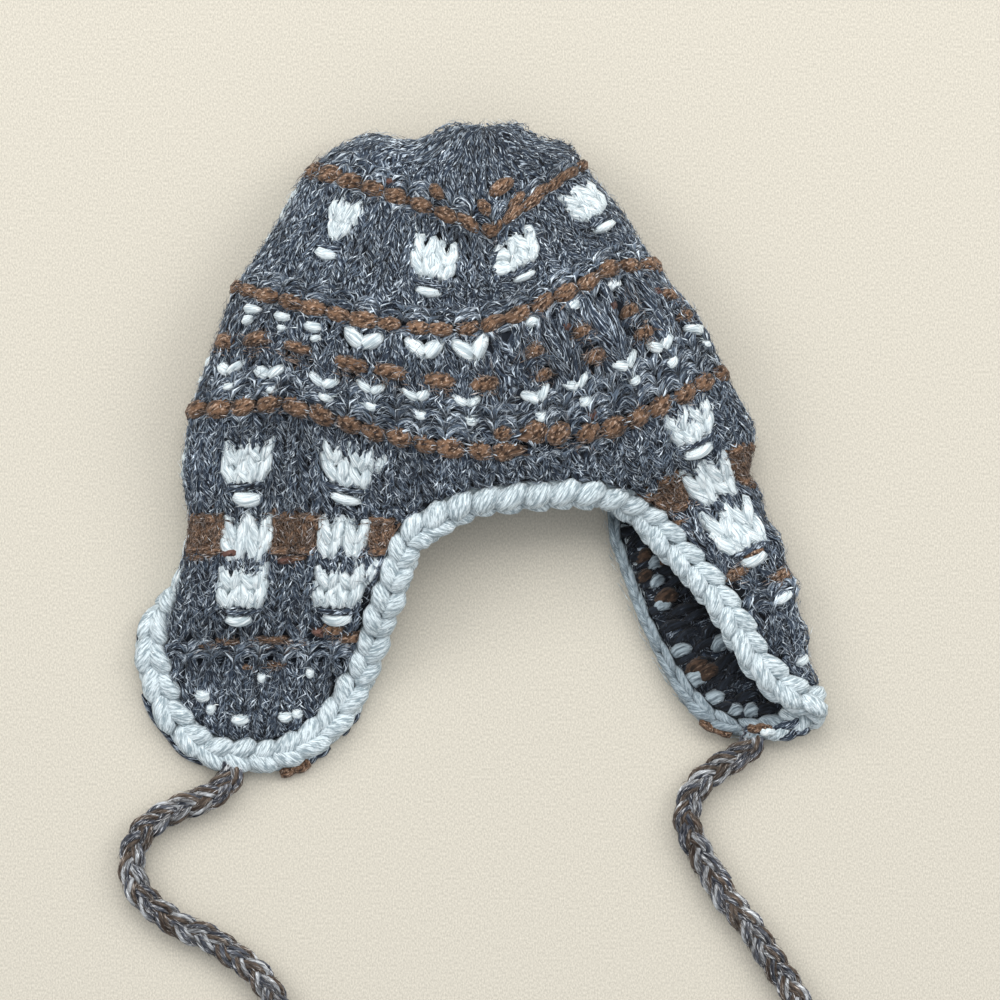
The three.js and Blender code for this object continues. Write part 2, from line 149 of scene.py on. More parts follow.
def copies(patterns, name):
    """One mesh of many patterns, all still in their own places."""
    joined = bmesh.new()
    joined.loops.layers.uv.new(UV_NAME)
    for pattern in patterns:
        joined.from_mesh(pattern)
    return as_mesh(joined, name)


def places_of(mesh):
    """The places of a mesh's points, one row for each."""
    places = np.empty(len(mesh.vertices) * 3)
    mesh.vertices.foreach_get("co", places)
    return places.reshape(-1, 3)


def move_to(mesh, places):
    mesh.vertices.foreach_set("co", places.ravel())
    mesh.update()


PATTERN_SLIDE = 90.0     # the streaks of a strand start anywhere in this length of yarn, in cm


def slide_streaks(mesh, loops):
    """Slides each strand's streaks along its yarn. loops holds how many corners each strand has."""
    layer = mesh.uv_layers[UV_NAME]
    values = np.empty(len(mesh.loops) * 2)
    layer.data.foreach_get("uv", values)
    values = values.reshape(-1, 2)
    values[:, 0] += np.repeat(rng.uniform(0, PATTERN_SLIDE, len(loops)), loops)
    layer.data.foreach_set("uv", values.ravel())


# %% [markdown]
# ## Colours and wool
#
# The main wool is heathered: dark navy and charcoal fibres with short pale streaks that run
# along the yarn. The pale and the brown wool are the same kind of yarn in other colours, and the
# braids mix all three. So one node group makes the streaks from the yarn's own UV map, and each
# material sets its own colours. A picture of wool would be the other way, but it can't follow
# the stitches.

# %% Colour helper


def colour(red, green, blue):
    """An sRGB colour, 0 to 255, as the linear values that shaders take."""
    values = []
    for level in (red, green, blue):
        share = level / 255
        values.append(share / 12.92 if share <= 0.04045 else ((share + 0.055) / 1.055) ** 2.4)
    return (*values, 1.0)


# %% Wool node group
def wool_group():
    group = bpy.data.node_groups.new("wool_ply", "ShaderNodeTree")
    sockets = group.interface
    for name, kind, value in (
            ("Shadow Colour", "NodeSocketColor", colour(30, 38, 50)),
            ("Body Colour", "NodeSocketColor", colour(90, 100, 112)),
            ("Streak Colour", "NodeSocketColor", colour(190, 205, 215)),
            ("Streak Share", "NodeSocketFloat", 0.4),
            ("Streak Length", "NodeSocketFloat", 4.5),
            ("Streak Width", "NodeSocketFloat", 0.9),
            ("Strand Width", "NodeSocketFloat", 1.8),
            ("Valley Shade", "NodeSocketFloat", 0.4),
            ("Twist", "NodeSocketFloat", 0.35)):
        socket = sockets.new_socket(name, in_out="INPUT", socket_type=kind)
        socket.default_value = value
    for name, kind in (("Color", "NodeSocketColor"), ("Height", "NodeSocketFloat")):
        sockets.new_socket(name, in_out="OUTPUT", socket_type=kind)
    nodes, links = group.nodes, group.links

    def node(kind, **settings):
        made = nodes.new(kind)
        for key, value in settings.items():
            setattr(made, key, value)
        return made

    def feed(sockets, values):
        """Gives each socket its value: a number, or the output of another node."""
        for socket, value in zip(sockets, values):
            if isinstance(value, (int, float)):
                socket.default_value = value
            else:
                links.new(value, socket)

    def maths(operation, *values):
        made = node("ShaderNodeMath", operation=operation)
        feed(made.inputs, values)
        return made.outputs[0]

    given = node("NodeGroupInput").outputs
    result = node("NodeGroupOutput").inputs
    uv = node("ShaderNodeUVMap", uv_map=UV_NAME)
    split = node("ShaderNodeSeparateXYZ")
    links.new(uv.outputs[0], split.inputs[0])
    along = split.outputs[0]
    round_it = maths("ADD", split.outputs[1], maths("MULTIPLY", along, given["Twist"]))
    u = maths("DIVIDE", maths("MULTIPLY", along, 10.0), given["Streak Length"])
    v = maths("DIVIDE", maths("MULTIPLY", round_it, 10.0), given["Streak Width"])

    def noise(u_scale, v_scale, shift, detail):
        joined = node("ShaderNodeCombineXYZ")
        feed(joined.inputs, (maths("MULTIPLY", u, u_scale), maths("MULTIPLY", v, v_scale), shift))
        made = node("ShaderNodeTexNoise")
        made.inputs["Scale"].default_value = 1.0
        made.inputs["Detail"].default_value = detail
        made.inputs["Roughness"].default_value = 0.55
        links.new(joined.outputs[0], made.inputs["Vector"])
        return made.outputs[0]

    def between(value, low, high):
        made = node("ShaderNodeMapRange", interpolation_type="SMOOTHSTEP")
        feed(made.inputs, (value, low, high))
        return made.outputs[0]

    def mix(factor, first, second):
        made = node("ShaderNodeMix", data_type="RGBA")
        feed((made.inputs[0], made.inputs[6], made.inputs[7]), (factor, first, second))
        return made.outputs[2]

    # Three noises on the yarn: its pale streaks, its dark and light fibres, and a finer one that
    # breaks both up. Each reads another part of the noise, so that they don't coincide.
    streaks = noise(1.0, 1.0, 3.1, 2.0)
    depth = noise(0.7, 0.6, 17.7, 3.0)
    fine = noise(2.6, 2.2, 41.3, 2.0)
    shade = mix(between(depth, 0.36, 0.62), given["Shadow Colour"], given["Body Colour"])
    low = maths("SUBTRACT", 0.78, maths("MULTIPLY", given["Streak Share"], 0.5))
    mask = between(streaks, low, maths("ADD", low, 0.13))
    mask = maths("MULTIPLY", mask, between(fine, 0.25, 0.55))
    # The strands are waves round the yarn that wander a little; painted shade fills the valleys.
    wander = maths("ADD", maths("MULTIPLY", maths("SUBTRACT", depth, 0.5), 1.2),
                   maths("MULTIPLY", maths("SUBTRACT", fine, 0.5), 1.8))
    strand = maths("ADD", maths("DIVIDE", maths("MULTIPLY", round_it, 10.0), given["Strand Width"]),
                   wander)
    ply = maths("ABSOLUTE", maths("SINE", maths("MULTIPLY", strand, math.pi)))
    valley = maths("MULTIPLY", maths("POWER", maths("SUBTRACT", 1.0, ply), 1.6),
                   given["Valley Shade"])
    streaked = mix(mask, shade, given["Streak Colour"])
    links.new(mix(valley, streaked, given["Shadow Colour"]), result["Color"])
    height = maths("ADD", maths("MULTIPLY", streaks, 0.4), maths("MULTIPLY", fine, 0.3))
    links.new(maths("ADD", height, maths("MULTIPLY", ply, 0.5)), result["Height"])
    return group


WOOL = wool_group()
print("wool group has", len(WOOL.nodes), "nodes")

# %% Patchy finish
SPECULAR_LEVEL = 0.2     # wool and cloth hardly shine


def patchy_finish(name, roughness, noise_scale, noise_detail, patch, bump, bump_height):
    """A dull material with patches of light and dark over the object, and what to link to it.

    patch is how much lighter and darker the patches are. The colour goes into the first socket
    returned, the height of the bumps into the second, and the last is the noise itself.
    """
    material = bpy.data.materials.new(name)
    material.use_nodes = True
    nodes, links = material.node_tree.nodes, material.node_tree.links
    shader = nodes["Principled BSDF"]
    shader.inputs["Roughness"].default_value = roughness
    shader.inputs["Specular IOR Level"].default_value = SPECULAR_LEVEL
    place = nodes.new("ShaderNodeTexCoord")
    noise = nodes.new("ShaderNodeTexNoise")
    noise.inputs["Scale"].default_value = noise_scale
    noise.inputs["Detail"].default_value = noise_detail
    links.new(place.outputs["Object"], noise.inputs["Vector"])
    level = nodes.new("ShaderNodeMapRange")
    links.new(noise.outputs[0], level.inputs[0])
    for socket, value in zip(level.inputs[1:5], (0.3, 0.7, 1 - patch, 1 + patch)):
        socket.default_value = value
    tint = nodes.new("ShaderNodeMix")
    tint.data_type = "RGBA"
    tint.blend_type = "MULTIPLY"
    tint.inputs[0].default_value = 1.0
    links.new(level.outputs[0], tint.inputs[7])
    links.new(tint.outputs[2], shader.inputs["Base Color"])
    relief = nodes.new("ShaderNodeBump")
    relief.inputs["Strength"].default_value = bump
    relief.inputs["Distance"].default_value = bump_height * MM
    links.new(relief.outputs[0], shader.inputs["Normal"])
    return material, tint.inputs[6], relief.inputs["Height"], noise


# %% Wool materials
WOOL_ROUGHNESS = 0.92
WOOL_SHEEN = 0.1
WOOL_HEIGHT = 0.8        # how high the bumps of the yarn's strands stand, in mm
PATCH_SCALE = 42.0       # patches of light and dark are about one 42nd of a metre wide
PATCH_DETAIL = 3.0


def wool(name, shadow, body, streak, share, length=4.5, width=0.9, twist=0.35, bump=0.5,
         patch=0.25, strand=1.8, groove=0.35):
    """A wool finish: streaks from the group, with slow patches of light and dark.

    The three colours are sRGB, 0 to 255. Lengths and widths of streaks and strands are in mm.
    """
    # groove is how dark the painted shade in the valleys between the yarn's strands is.
    material, tint, height, _ = patchy_finish(name, WOOL_ROUGHNESS, PATCH_SCALE, PATCH_DETAIL,
                                              patch, bump, WOOL_HEIGHT)
    nodes, links = material.node_tree.nodes, material.node_tree.links
    shader = nodes["Principled BSDF"]
    shader.inputs["Sheen Weight"].default_value = WOOL_SHEEN
    shader.inputs["Sheen Roughness"].default_value = 0.5
    ply = nodes.new("ShaderNodeGroup")
    ply.node_tree = WOOL
    for key, value in (("Shadow Colour", colour(*shadow)), ("Body Colour", colour(*body)),
                       ("Streak Colour", colour(*streak)), ("Streak Share", share),
                       ("Streak Length", length), ("Streak Width", width), ("Twist", twist),
                       ("Strand Width", strand), ("Valley Shade", groove)):
        ply.inputs[key].default_value = value
    links.new(ply.outputs["Color"], tint)
    links.new(ply.outputs["Height"], height)
    return material


HEATHER = wool("heather_wool", (9, 14, 23), (54, 65, 80), (192, 206, 220), 0.52,
               length=3.8, width=0.8, patch=0.32)
# A paler copy of the heather for purl bumps: partly their own paler look, partly painted light.
PALE_HEATHER = wool("pale_heather_wool", (22, 30, 41), (86, 99, 115), (206, 218, 229), 0.6,
                    length=3.2, width=0.8, patch=0.3)
ICE = wool("ice_wool", (160, 175, 182), (230, 240, 243), (252, 255, 255), 0.5,
           length=4.0, width=0.6, patch=0.06, strand=0.7, groove=0.48)
BORDER_ICE = wool("border_wool", (138, 154, 162), (221, 233, 238), (247, 253, 255), 0.42,
                  length=2.0, width=0.5, bump=0.6, patch=0.06, strand=0.85, groove=0.52, twist=0.6)
# The border wool made greyer for the leaves folded under the right flap: painted shade.
BORDER_IN_SHADE = wool("border_shade_wool", (104, 118, 127), (168, 182, 190), (206, 217, 222), 0.4,
                   length=2.0, width=0.5, bump=0.6, patch=0.1, strand=0.85, groove=0.6, twist=0.6)
# Darker copies of the ice and brown wool for the dots inside the folded right flap: painted shade.
DIM_ICE = wool("inner_ice_shade_wool", (76, 87, 95), (152, 166, 174), (196, 208, 214), 0.4,
               length=3.0, strand=0.8)
DIM_BROWN = wool("inner_brown_shade_wool", (30, 23, 19), (72, 55, 44), (106, 88, 74), 0.4, length=1.2)
RUSSET = wool("russet_wool", (48, 32, 28), (102, 74, 66), (146, 122, 116), 0.4,
              length=1.2, patch=0.3, groove=0.2)
BROWN = wool("brown_wool", (42, 30, 23), (117, 90, 70), (172, 148, 130), 0.5,
             length=1.1, width=0.8, patch=0.3, groove=0.2)
BRAID_SLATE = wool("braid_slate", (30, 33, 42), (84, 88, 97), (210, 214, 220), 0.5)
BRAID_BROWN = wool("braid_brown", (48, 38, 32), (98, 86, 76), (192, 183, 174), 0.44)
BRAID_PALE = wool("braid_pale", (88, 88, 90), (176, 180, 184), (236, 240, 243), 0.5)
# The inside of the hat lies in shade, so its loops and the felt sheet get this dark wool: painted
# shade.
INNER = wool("knit_shadow_wool", (9, 12, 17), (30, 36, 45), (84, 94, 106), 0.35)

# Single fibres are too thin for streaks, so each takes one shade from a pattern that is very wide.
ONE_SHADE = {"length": 30.0, "width": 30.0, "bump": 0.0, "groove": 0.0}
FUZZ = wool("heather_fuzz_wool", (23, 31, 45), (101, 115, 131), (216, 228, 238), 0.56,
            patch=0.32, **ONE_SHADE)
BROWN_FUZZ = wool("brown_fuzz_wool", (54, 43, 37), (128, 111, 100), (198, 192, 190), 0.5,
                  **ONE_SHADE)
TIE_FUZZ = wool("tie_fuzz_wool", (44, 38, 34), (104, 98, 94), (214, 214, 216), 0.5, **ONE_SHADE)
# Fibres inside the hat lie in shade, so they are darker than the heather fuzz: painted shade.
INNER_FUZZ = wool("inner_fuzz_shade_wool", (8, 11, 16), (36, 43, 55), (118, 130, 144), 0.46,
                  **ONE_SHADE)
print("wool finishes:", [m.name for m in bpy.data.materials])

# %% [markdown]
# ## The ties
#
# Each tie is a plait of three strands, and each strand is a bundle of thin yarns in slate, brown
# and pale wool. The strands cross from side to side, so their middle lines are two sine waves,
# one across the plait and one up and down at twice the rate. The thin yarns are sunk into each
# other round that line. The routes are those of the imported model. At its root each tie turns up
# into the border, so that it grows out of it and doesn't just lie against it.

# %% Tie routes
TIE_DIAMETER = 13.0
TIE_LEVEL = TIE_DIAMETER / 2
TIE_LEFT_ROUTE = [
    (-112.5, -148.2), (-117, -153), (-124.5, -157.5), (-134, -161), (-142, -164.5),
    (-151.5, -171), (-157, -181), (-157.5, -191), (-154, -200), (-148, -206), (-135.5, -215),
    (-123, -220), (-113, -227), (-103, -234.5), (-97, -242), (-92, -251), (-85, -264),
    (-76, -277), (-64, -289), (-50, -299), (-35, -307), (-19, -313),
]
TIE_RIGHT_ROUTE = [
    (119.5, -135.9), (112.5, -139.2), (104.5, -143.8), (97, -149.8), (92, -157), (90, -166),
    (92, -174.5), (97, -184), (102, -193), (107, -201.5), (113.5, -209), (120, -217),
    (125, -225.5), (131, -234), (137, -243), (141, -251), (148, -263), (153, -277),
    (154, -292), (151, -306.5), (144, -320), (134, -331), (122, -340), (108, -346),
]


def smooth_route(route, spacing=1.0):
    """Evenly spaced points on the smooth line through the route's points."""
    corners = np.array([(x, y, TIE_LEVEL) for x, y in route], float)
    corners = np.vstack([2 * corners[0] - corners[1], corners, 2 * corners[-1] - corners[-2]])
    t = np.linspace(0, 1, 24, endpoint=False)[:, None]
    line = []
    for a, b, c, d in zip(corners[:-3], corners[1:-2], corners[2:-1], corners[3:]):
        line.append(0.5 * (2 * b + (c - a) * t + (2 * a - 5 * b + 4 * c - d) * t ** 2
                           + (3 * b - a - 3 * c + d) * t ** 3))
    line = np.vstack(line + [corners[-2:-1]])
    length = running_length(line)
    even = np.linspace(0, length[-1], round(length[-1] / spacing) + 1)
    return np.stack([np.interp(even, length, line[:, k]) for k in range(3)], axis=1)


ROOTS = {"tie_left": (-111.9, -142.0, 6.5), "tie_right": (120.5, -128.0, 7.0)}
ROOT_BEND = 7            # a tie leaves its route and turns to its root this far along, in mm
ROOT_POINTS = 12


def rooted(line, root):
    """The line of a tie, started at its root in the border and bent smoothly into the route."""
    share = np.linspace(0, 1, ROOT_POINTS)[:, None]
    bend = line[1] * 2 * share * (1 - share)
    joint = line[ROOT_BEND] * share ** 2
    return np.vstack([(np.array(root) * (1 - share) ** 2 + bend + joint)[:-1], line[ROOT_BEND:]])


tie_lines = {"tie_left": rooted(smooth_route(TIE_LEFT_ROUTE), ROOTS["tie_left"]),
             "tie_right": rooted(smooth_route(TIE_RIGHT_ROUTE), ROOTS["tie_right"])}
tie_lengths = {name: running_length(line)[-1] for name, line in tie_lines.items()}
print("tie lengths in mm:", {name: round(length, 1) for name, length in tie_lengths.items()})

# %% Piece helper


def join(tubes, name):
    """One mesh from many strands. tubes is a list of (bmesh, number of its material)."""
    strands = []
    for bm, number in tubes:
        for face in bm.faces:
            face.material_index = number
        strands.append(as_mesh(bm, "strand"))
    mesh = copies(strands, name)
    slide_streaks(mesh, [len(strand.loops) for strand in strands])
    for strand in strands:
        bpy.data.meshes.remove(strand)
    return mesh


def finished(mesh, name, materials, nodes):
    """Puts a mesh in the scene as a piece of the hat, in metres and not below the table."""
    places = places_of(mesh)
    places[:, 2] = np.maximum(places[:, 2], 0)
    move_to(mesh, places * MM)
    for material in materials:
        mesh.materials.append(material)
    piece = bpy.data.objects.new(name, mesh)
    scene.collection.objects.link(piece)
    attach(piece, "root")
    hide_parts(*nodes)
    mesh.calc_loop_triangles()
    print(name, "has", len(mesh.loop_triangles), "triangles")
    return piece


# %% Braiding
PLAIT_PITCH = 30.0       # one strand is back on its side after this length
PLAIT_SWAY = 3.5         # how far a strand's middle goes to the side
PLAIT_RISE = 1.9         # how far it goes up and down
STRAND_SPREAD = 2.0      # the thin yarns lie this far from the strand's middle
STRAND_LAY = 40.0        # a thin yarn has gone once round its strand after this length
THIN_YARN = 1.05
THIN_SIDES = 6
RING_STEP = 2
BRAID_WOOLS = [BRAID_SLATE, BRAID_BROWN, BRAID_PALE]
YARNS_OF_STRANDS = ((0, 1, 2, 0, 2, 1), (1, 0, 2, 1, 1, 0), (0, 2, 1, 0, 0, 2))


def braid(line):
    """The thin yarns of one plait, each with the number of its material."""
    tangent = unit(np.gradient(line, axis=0))
    side = unit(np.cross((0, 0, 1), tangent))
    length = running_length(line)
    tubes = []
    for strand in range(3):
        phase = 2 * math.pi * (length / PLAIT_PITCH + strand / 3)
        middle = (line + side * (PLAIT_SWAY * np.sin(phase))[:, None]
                  + np.array((0, 0, 1)) * (PLAIT_RISE * np.sin(2 * phase))[:, None])
        heading = unit(np.gradient(middle, axis=0))
        across = unit(np.cross((0, 0, 1), heading))
        over = np.cross(heading, across)
        for yarn, wool_number in enumerate(YARNS_OF_STRANDS[strand]):
            turn = 2 * math.pi * (yarn / 6 + length / STRAND_LAY) + strand
            spot = (middle + across * (STRAND_SPREAD * np.cos(turn))[:, None]
                    + over * (STRAND_SPREAD * 0.8 * np.sin(turn))[:, None])
            tube = yarn_tube(spot[::RING_STEP], THIN_YARN, THIN_SIDES, ends=0.6)
            tubes.append((tube, wool_number))
    return tubes


# A broken yarn stands off the side of the right tie.
STUB = np.array([(99.5, -186.5, 6.5), (103, -188, 6.5), (106.5, -190.5, 6), (109, -194, 5)])
STUB_RADIUS = 1.5
for name, line in tie_lines.items():
    mesh = join(braid(line), name + "_braid")
    if name == "tie_right":
        stub = as_mesh(yarn_tube(STUB, STUB_RADIUS, THIN_SIDES, ends=0.6), "yarn_stub")
        mesh = copies([mesh, stub], "tie_right_braid")
    finished(mesh, name + "_braid", BRAID_WOOLS, [name])

# %% [markdown]
# ## The knots
#
# The plait is tied off with an overhand knot, and its cut strands flare out as a short tassel.
# Two and a half fat turns of yarn round the end make the knot. The tassel is a bundle of thin
# yarns that start in the knot, spread a little and end at slightly different lengths.

# %% Knot and tassel
KNOT_RADIUS = 6.2
KNOT_TURNS = 2.6
KNOT_START = 3.5         # the turns start this far past the plait's end
KNOT_RISE = 11.0         # and go on along the tie this far
KNOT_LIFT = 4.0          # the knot is fatter than the plait, so its middle lies higher
KNOT_YARN = 3.9
TASSEL_START = 8
TASSEL_LENGTH = 41.0
TASSEL_YARNS = 14
TASSEL_DROP = 6.5


def knot_and_tassel(line):
    end = line[-1] + (0, 0, KNOT_LIFT)
    heading = unit(line[-1] - line[-4])
    side = unit(np.cross((0, 0, 1), heading))
    up = np.cross(heading, side)
    tubes = []
    turn = np.linspace(0, 2 * math.pi * KNOT_TURNS, 44)
    share = turn / turn[-1]
    coil = (end + heading * (KNOT_START + KNOT_RISE * share)[:, None]
            + side * (KNOT_RADIUS * np.cos(turn))[:, None]
            + up * (KNOT_RADIUS * np.sin(turn))[:, None])
    outwards = unit(coil - end - heading * (KNOT_START + KNOT_RISE * share)[:, None])
    tubes.append((yarn_tube(coil, KNOT_YARN, 8, up=outwards, ends=0.5), 0))
    tubes.append((yarn_tube(coil + outwards * 1.1 + heading * 1.4, KNOT_YARN * 0.62, 6,
                            up=outwards, ends=0.5), 1))
    for yarn in range(TASSEL_YARNS):
        angle = 2 * math.pi * yarn / TASSEL_YARNS + rng.uniform(-0.2, 0.2)
        reach = TASSEL_LENGTH - rng.uniform(0, 6)
        t = np.linspace(0, 1, 10)
        spread = (2.2 + 4.4 * t ** 1.5) * rng.uniform(0.6, 1.0)
        drop = -TASSEL_DROP * t ** 2
        strand = (end + heading * (TASSEL_START + (reach - TASSEL_START) * t)[:, None]
                  + side * (spread * np.cos(angle))[:, None]
                  + up * (spread * np.sin(angle) * 0.7 + drop)[:, None])
        strand[:, 2] = np.maximum(strand[:, 2], THIN_YARN)
        tubes.append((yarn_tube(strand, THIN_YARN, THIN_SIDES, ends=0.3), yarn % 3))
    return tubes


for name, line in tie_lines.items():
    mesh = join(knot_and_tassel(line), name + "_tassel")
    finished(mesh, name + "_tassel", BRAID_WOOLS,
                           [name + "_knot"])

# %% [markdown]
# ## The surface of the knit
#
# The whole knit is one surface that is read by wale and row. Wales are the columns of stitches,
# counted from the seam at the back, and rows are counted down from the gathered crown. With this
# surface the hat is knitted flat, as a chart, and then wrapped: each point of a stitch has a
# wale, a row and a height over the surface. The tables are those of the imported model. Stitches
# could also be set one by one on the model's faces, but then the rows wouldn't run on evenly
# round the folds.

# %% Tables of the surface
WALES = 48
WALL = 8.6
FLAP_WALE = 10.0
CAP_COLUMNS = ("row leftX leftY rightX rightY height base seamX dipX dip dipPower reachLeft "
               "reachRight frontDip").split()
CAP_SECTIONS = np.array([
    (0, 0, 142, 0, 142, 26, 26, 0, 0, 0, 1, 10, 10, 0),
    (1, -13, 142, 13, 142, 36, 15, 0, 0, 5, 1.6, 13, 13, 3),
    (2.2, -29, 139, 23, 136, 41, 7, 1, 0, 13, 1.4, 29, 24, 8),
    (3.6, -54, 137, 37, 132, 44, 1, 2, 1, 22, 1.2, 55, 36, 14),
    (6, -79, 120, 44, 123, 45, 0, 4, 3, 31, 0.9, 82, 41, 20),
    (9.6, -94, 94, 62, 101, 52, 0, 7, -5, 29, 1.2, 89, 62, 22),
    (13.3, -110, 70, 75, 80, 53, 0, 9, -12, 25, 1.5, 98, 70, 22),
    (16.3, -120, 43, 94, 57, 55, 0, 13, 4, 27, 1.6, 99, 84, 21),
    (19.3, -130, 15, 106, 32, 49, 0, 16, 16, 29, 1.7, 102, 88, 20),
    (22, -134, -7, 118, 11, 41, 0, 18, 16, 27, 1.8, 106, 94, 15),
])
FLAP_COLUMNS = "row x y z heading underHeading slope turn turnAt turnSpan pitch".split()
LEFT_FLAP_SECTIONS = np.array([
    (26, -95, -41, 30, 0, 0, 8, 155, 13.9, 3.3, 10.8),
    (29.5, -98, -69, 24, 0, 0, 5, 95, 14, 3.3, 10.8),
    (32, -100, -89, 14, 0, 0, 2, 30, 14.4, 3.3, 10.8),
    (34, -102, -105, 9, 0, 0, 0, 0, 15, 3.3, 10.8),
    (38, -105, -138, 8.6, 0, 0, 0, 0, 16, 3, 10.8),
])
RIGHT_FLAP_SECTIONS = np.array([
    (26, 115, -22, 1, 21, 22, 5, 175, 9, 3.8, 11.4),
    (30, 122, -56, 0, 26, 18, 18, 162, 8.6, 2.8, 12.2),
    (34, 130, -89, 0, 28, 22, 22, 158, 8.6, 2.8, 12.2),
    (38, 137, -123, 0, 30, 28, 22, 158, 8.6, 2.8, 12.2),
])
HEM = np.array([
    (0, 37.3), (1.2, 37.1), (2.2, 36.4), (3.0, 35.2), (3.6, 33.6), (4.1, 31.2), (4.5, 28.8),
    (5.0, 26.3), (5.7, 24.2), (6.6, 22.6), (7.8, 21.7), (9.0, 21.4), (14, 21.2),
])


def hermite(start, start_slope, end, end_slope, t):
    return (start * (2 * t ** 3 - 3 * t ** 2 + 1) + start_slope * (t ** 3 - 2 * t ** 2 + t)
            + end * (3 * t ** 2 - 2 * t ** 3) + end_slope * (t ** 3 - t ** 2))


def read_table(table, column, place):
    """The value of a column between the rows of a table, on a smooth line through them."""
    xs, ys = table[:, 0], table[:, column]
    last = len(xs) - 1
    place = np.clip(place, xs[0], xs[last])
    i = np.clip(np.searchsorted(xs, place, side="right") - 1, 0, last - 1)
    before = np.maximum(np.arange(last + 1) - 1, 0)
    after = np.minimum(np.arange(last + 1) + 1, last)
    slopes = (ys[after] - ys[before]) / (xs[after] - xs[before])
    span = xs[i + 1] - xs[i]
    return hermite(ys[i], slopes[i] * span, ys[i + 1], slopes[i + 1] * span, (place - xs[i]) / span)


def smooth_step(t):
    t = np.clip(t, 0, 1)
    return t * t * (3 - 2 * t)


def local(wales):
    """The same wales, counted from the seam both ways round the hat."""
    return (wales + WALES / 2) % WALES - WALES / 2


# %% Reading the surface
LOOP_POINTS = 240
GRID_STEP = 0.25
GRID_WALES = np.arange(-WALES / 2, WALES / 2, GRID_STEP)
GRID_ROWS = np.arange(0, 38.51, GRID_STEP)
SIDE_ROUNDING = 2.6      # a row of the cap is a squarish ring: higher numbers are squarer
TOP_ROUNDING = 2.2
FOLD_SHARE = 0.42        # its widest place is this share of its height up
UNDER_FALL = 1.2         # above 1, the under side lies flat on the base in its middle
CAP_END = 22.0           # between this row and the next number the cap runs on into the flaps
FLAP_START = 26.0


def cap_row(row):
    """The points of one row of the cap, at every wale of the grid."""
    s = {name: float(read_table(CAP_SECTIONS, k, row)) for k, name in enumerate(CAP_COLUMNS)}
    angle = np.linspace(0, 2 * math.pi, LOOP_POINTS + 1)
    cos, sin = np.cos(angle), np.sin(angle)
    across = np.sign(cos) * np.abs(cos) ** (2 / SIDE_ROUNDING)
    x = (s["leftX"] + s["rightX"]) / 2 + across * (s["rightX"] - s["leftX"]) / 2
    y = (s["leftY"] + s["rightY"]) / 2 + across * (s["rightY"] - s["leftY"]) / 2
    fold = s["base"] + FOLD_SHARE * (s["height"] - s["base"])
    upper = fold + (s["height"] - fold) * np.maximum(sin, 0) ** (2 / TOP_ROUNDING)
    lower = np.maximum(s["base"],
                       fold - (fold - s["base"]) * UNDER_FALL * np.maximum(-sin, 0) ** 0.5)
    z = np.where(sin >= 0, upper, lower)
    away = np.abs(x - s["dipX"]) / np.where(x < s["dipX"], s["reachLeft"], s["reachRight"])
    bow = np.where(away < 1, 1 - np.minimum(away, 1) ** s["dipPower"], 0)
    y = y - np.where(sin >= 0, s["dip"], s["frontDip"]) * bow
    line = np.stack([x, y, z], axis=1)
    length = running_length(line)
    half = LOOP_POINTS // 2
    k = int(np.argmax((x[1:half + 1] <= s["seamX"]) & (x[:half] > s["seamX"])))
    step = x[k] - x[k + 1]
    share = (x[k] - s["seamX"]) / step if step else 0.0
    seam = length[k] + share * (length[k + 1] - length[k])
    girth = length[-1] or 1.0
    along = (seam - GRID_WALES * length[-1] / WALES) % girth
    return np.stack([np.interp(along, length, line[:, c]) for c in range(3)], axis=1)


def flap_row(row):
    """The points of one row of the flaps, stepped outwards and inwards from their middle wales."""
    points = np.zeros((len(GRID_WALES), 3))
    for sign, table in ((-1, LEFT_FLAP_SECTIONS), (1, RIGHT_FLAP_SECTIONS)):
        s = {name: float(read_table(table, k, row)) for k, name in enumerate(FLAP_COLUMNS)}
        for way in (1, -1):
            count = round((WALES / 2 - FLAP_WALE if way > 0 else FLAP_WALE) / GRID_STEP)
            here = FLAP_WALE + way * GRID_STEP * (np.arange(count) + 0.5)
            rolled = smooth_step((here - s["turnAt"]) / s["turnSpan"] + 0.5)
            fall = np.radians(s["slope"] + s["turn"] * rolled)
            aim = np.radians(s["heading"] + (s["underHeading"] - s["heading"]) * rolled)
            step = way * GRID_STEP * s["pitch"]
            moves = step * np.stack([np.cos(fall) * np.cos(aim) * sign,
                                     np.cos(fall) * np.sin(aim), -np.sin(fall)], axis=1)
            line = np.array((s["x"], s["y"], s["z"])) + np.vstack([np.zeros(3), moves]).cumsum(0)
            wales = sign * (FLAP_WALE + way * GRID_STEP * np.arange(count + 1))
            index = np.round((wales + WALES / 2) / GRID_STEP).astype(int)
            keep = (index >= 0) & (index < len(GRID_WALES))
            points[index[keep]] = line[keep]
    return points


def knit_grid():
    start, before = cap_row(CAP_END), cap_row(CAP_END - GRID_STEP)
    end, after = flap_row(FLAP_START), flap_row(FLAP_START + GRID_STEP)
    span = FLAP_START - CAP_END
    per_span = span / GRID_STEP
    rows = []
    for row in GRID_ROWS:
        if row <= CAP_END:
            rows.append(cap_row(row))
        elif row >= FLAP_START:
            rows.append(flap_row(row))
        else:
            rows.append(hermite(start, (start - before) * per_span, end,
                                (after - end) * per_span, (row - CAP_END) / span))
    return np.stack(rows)


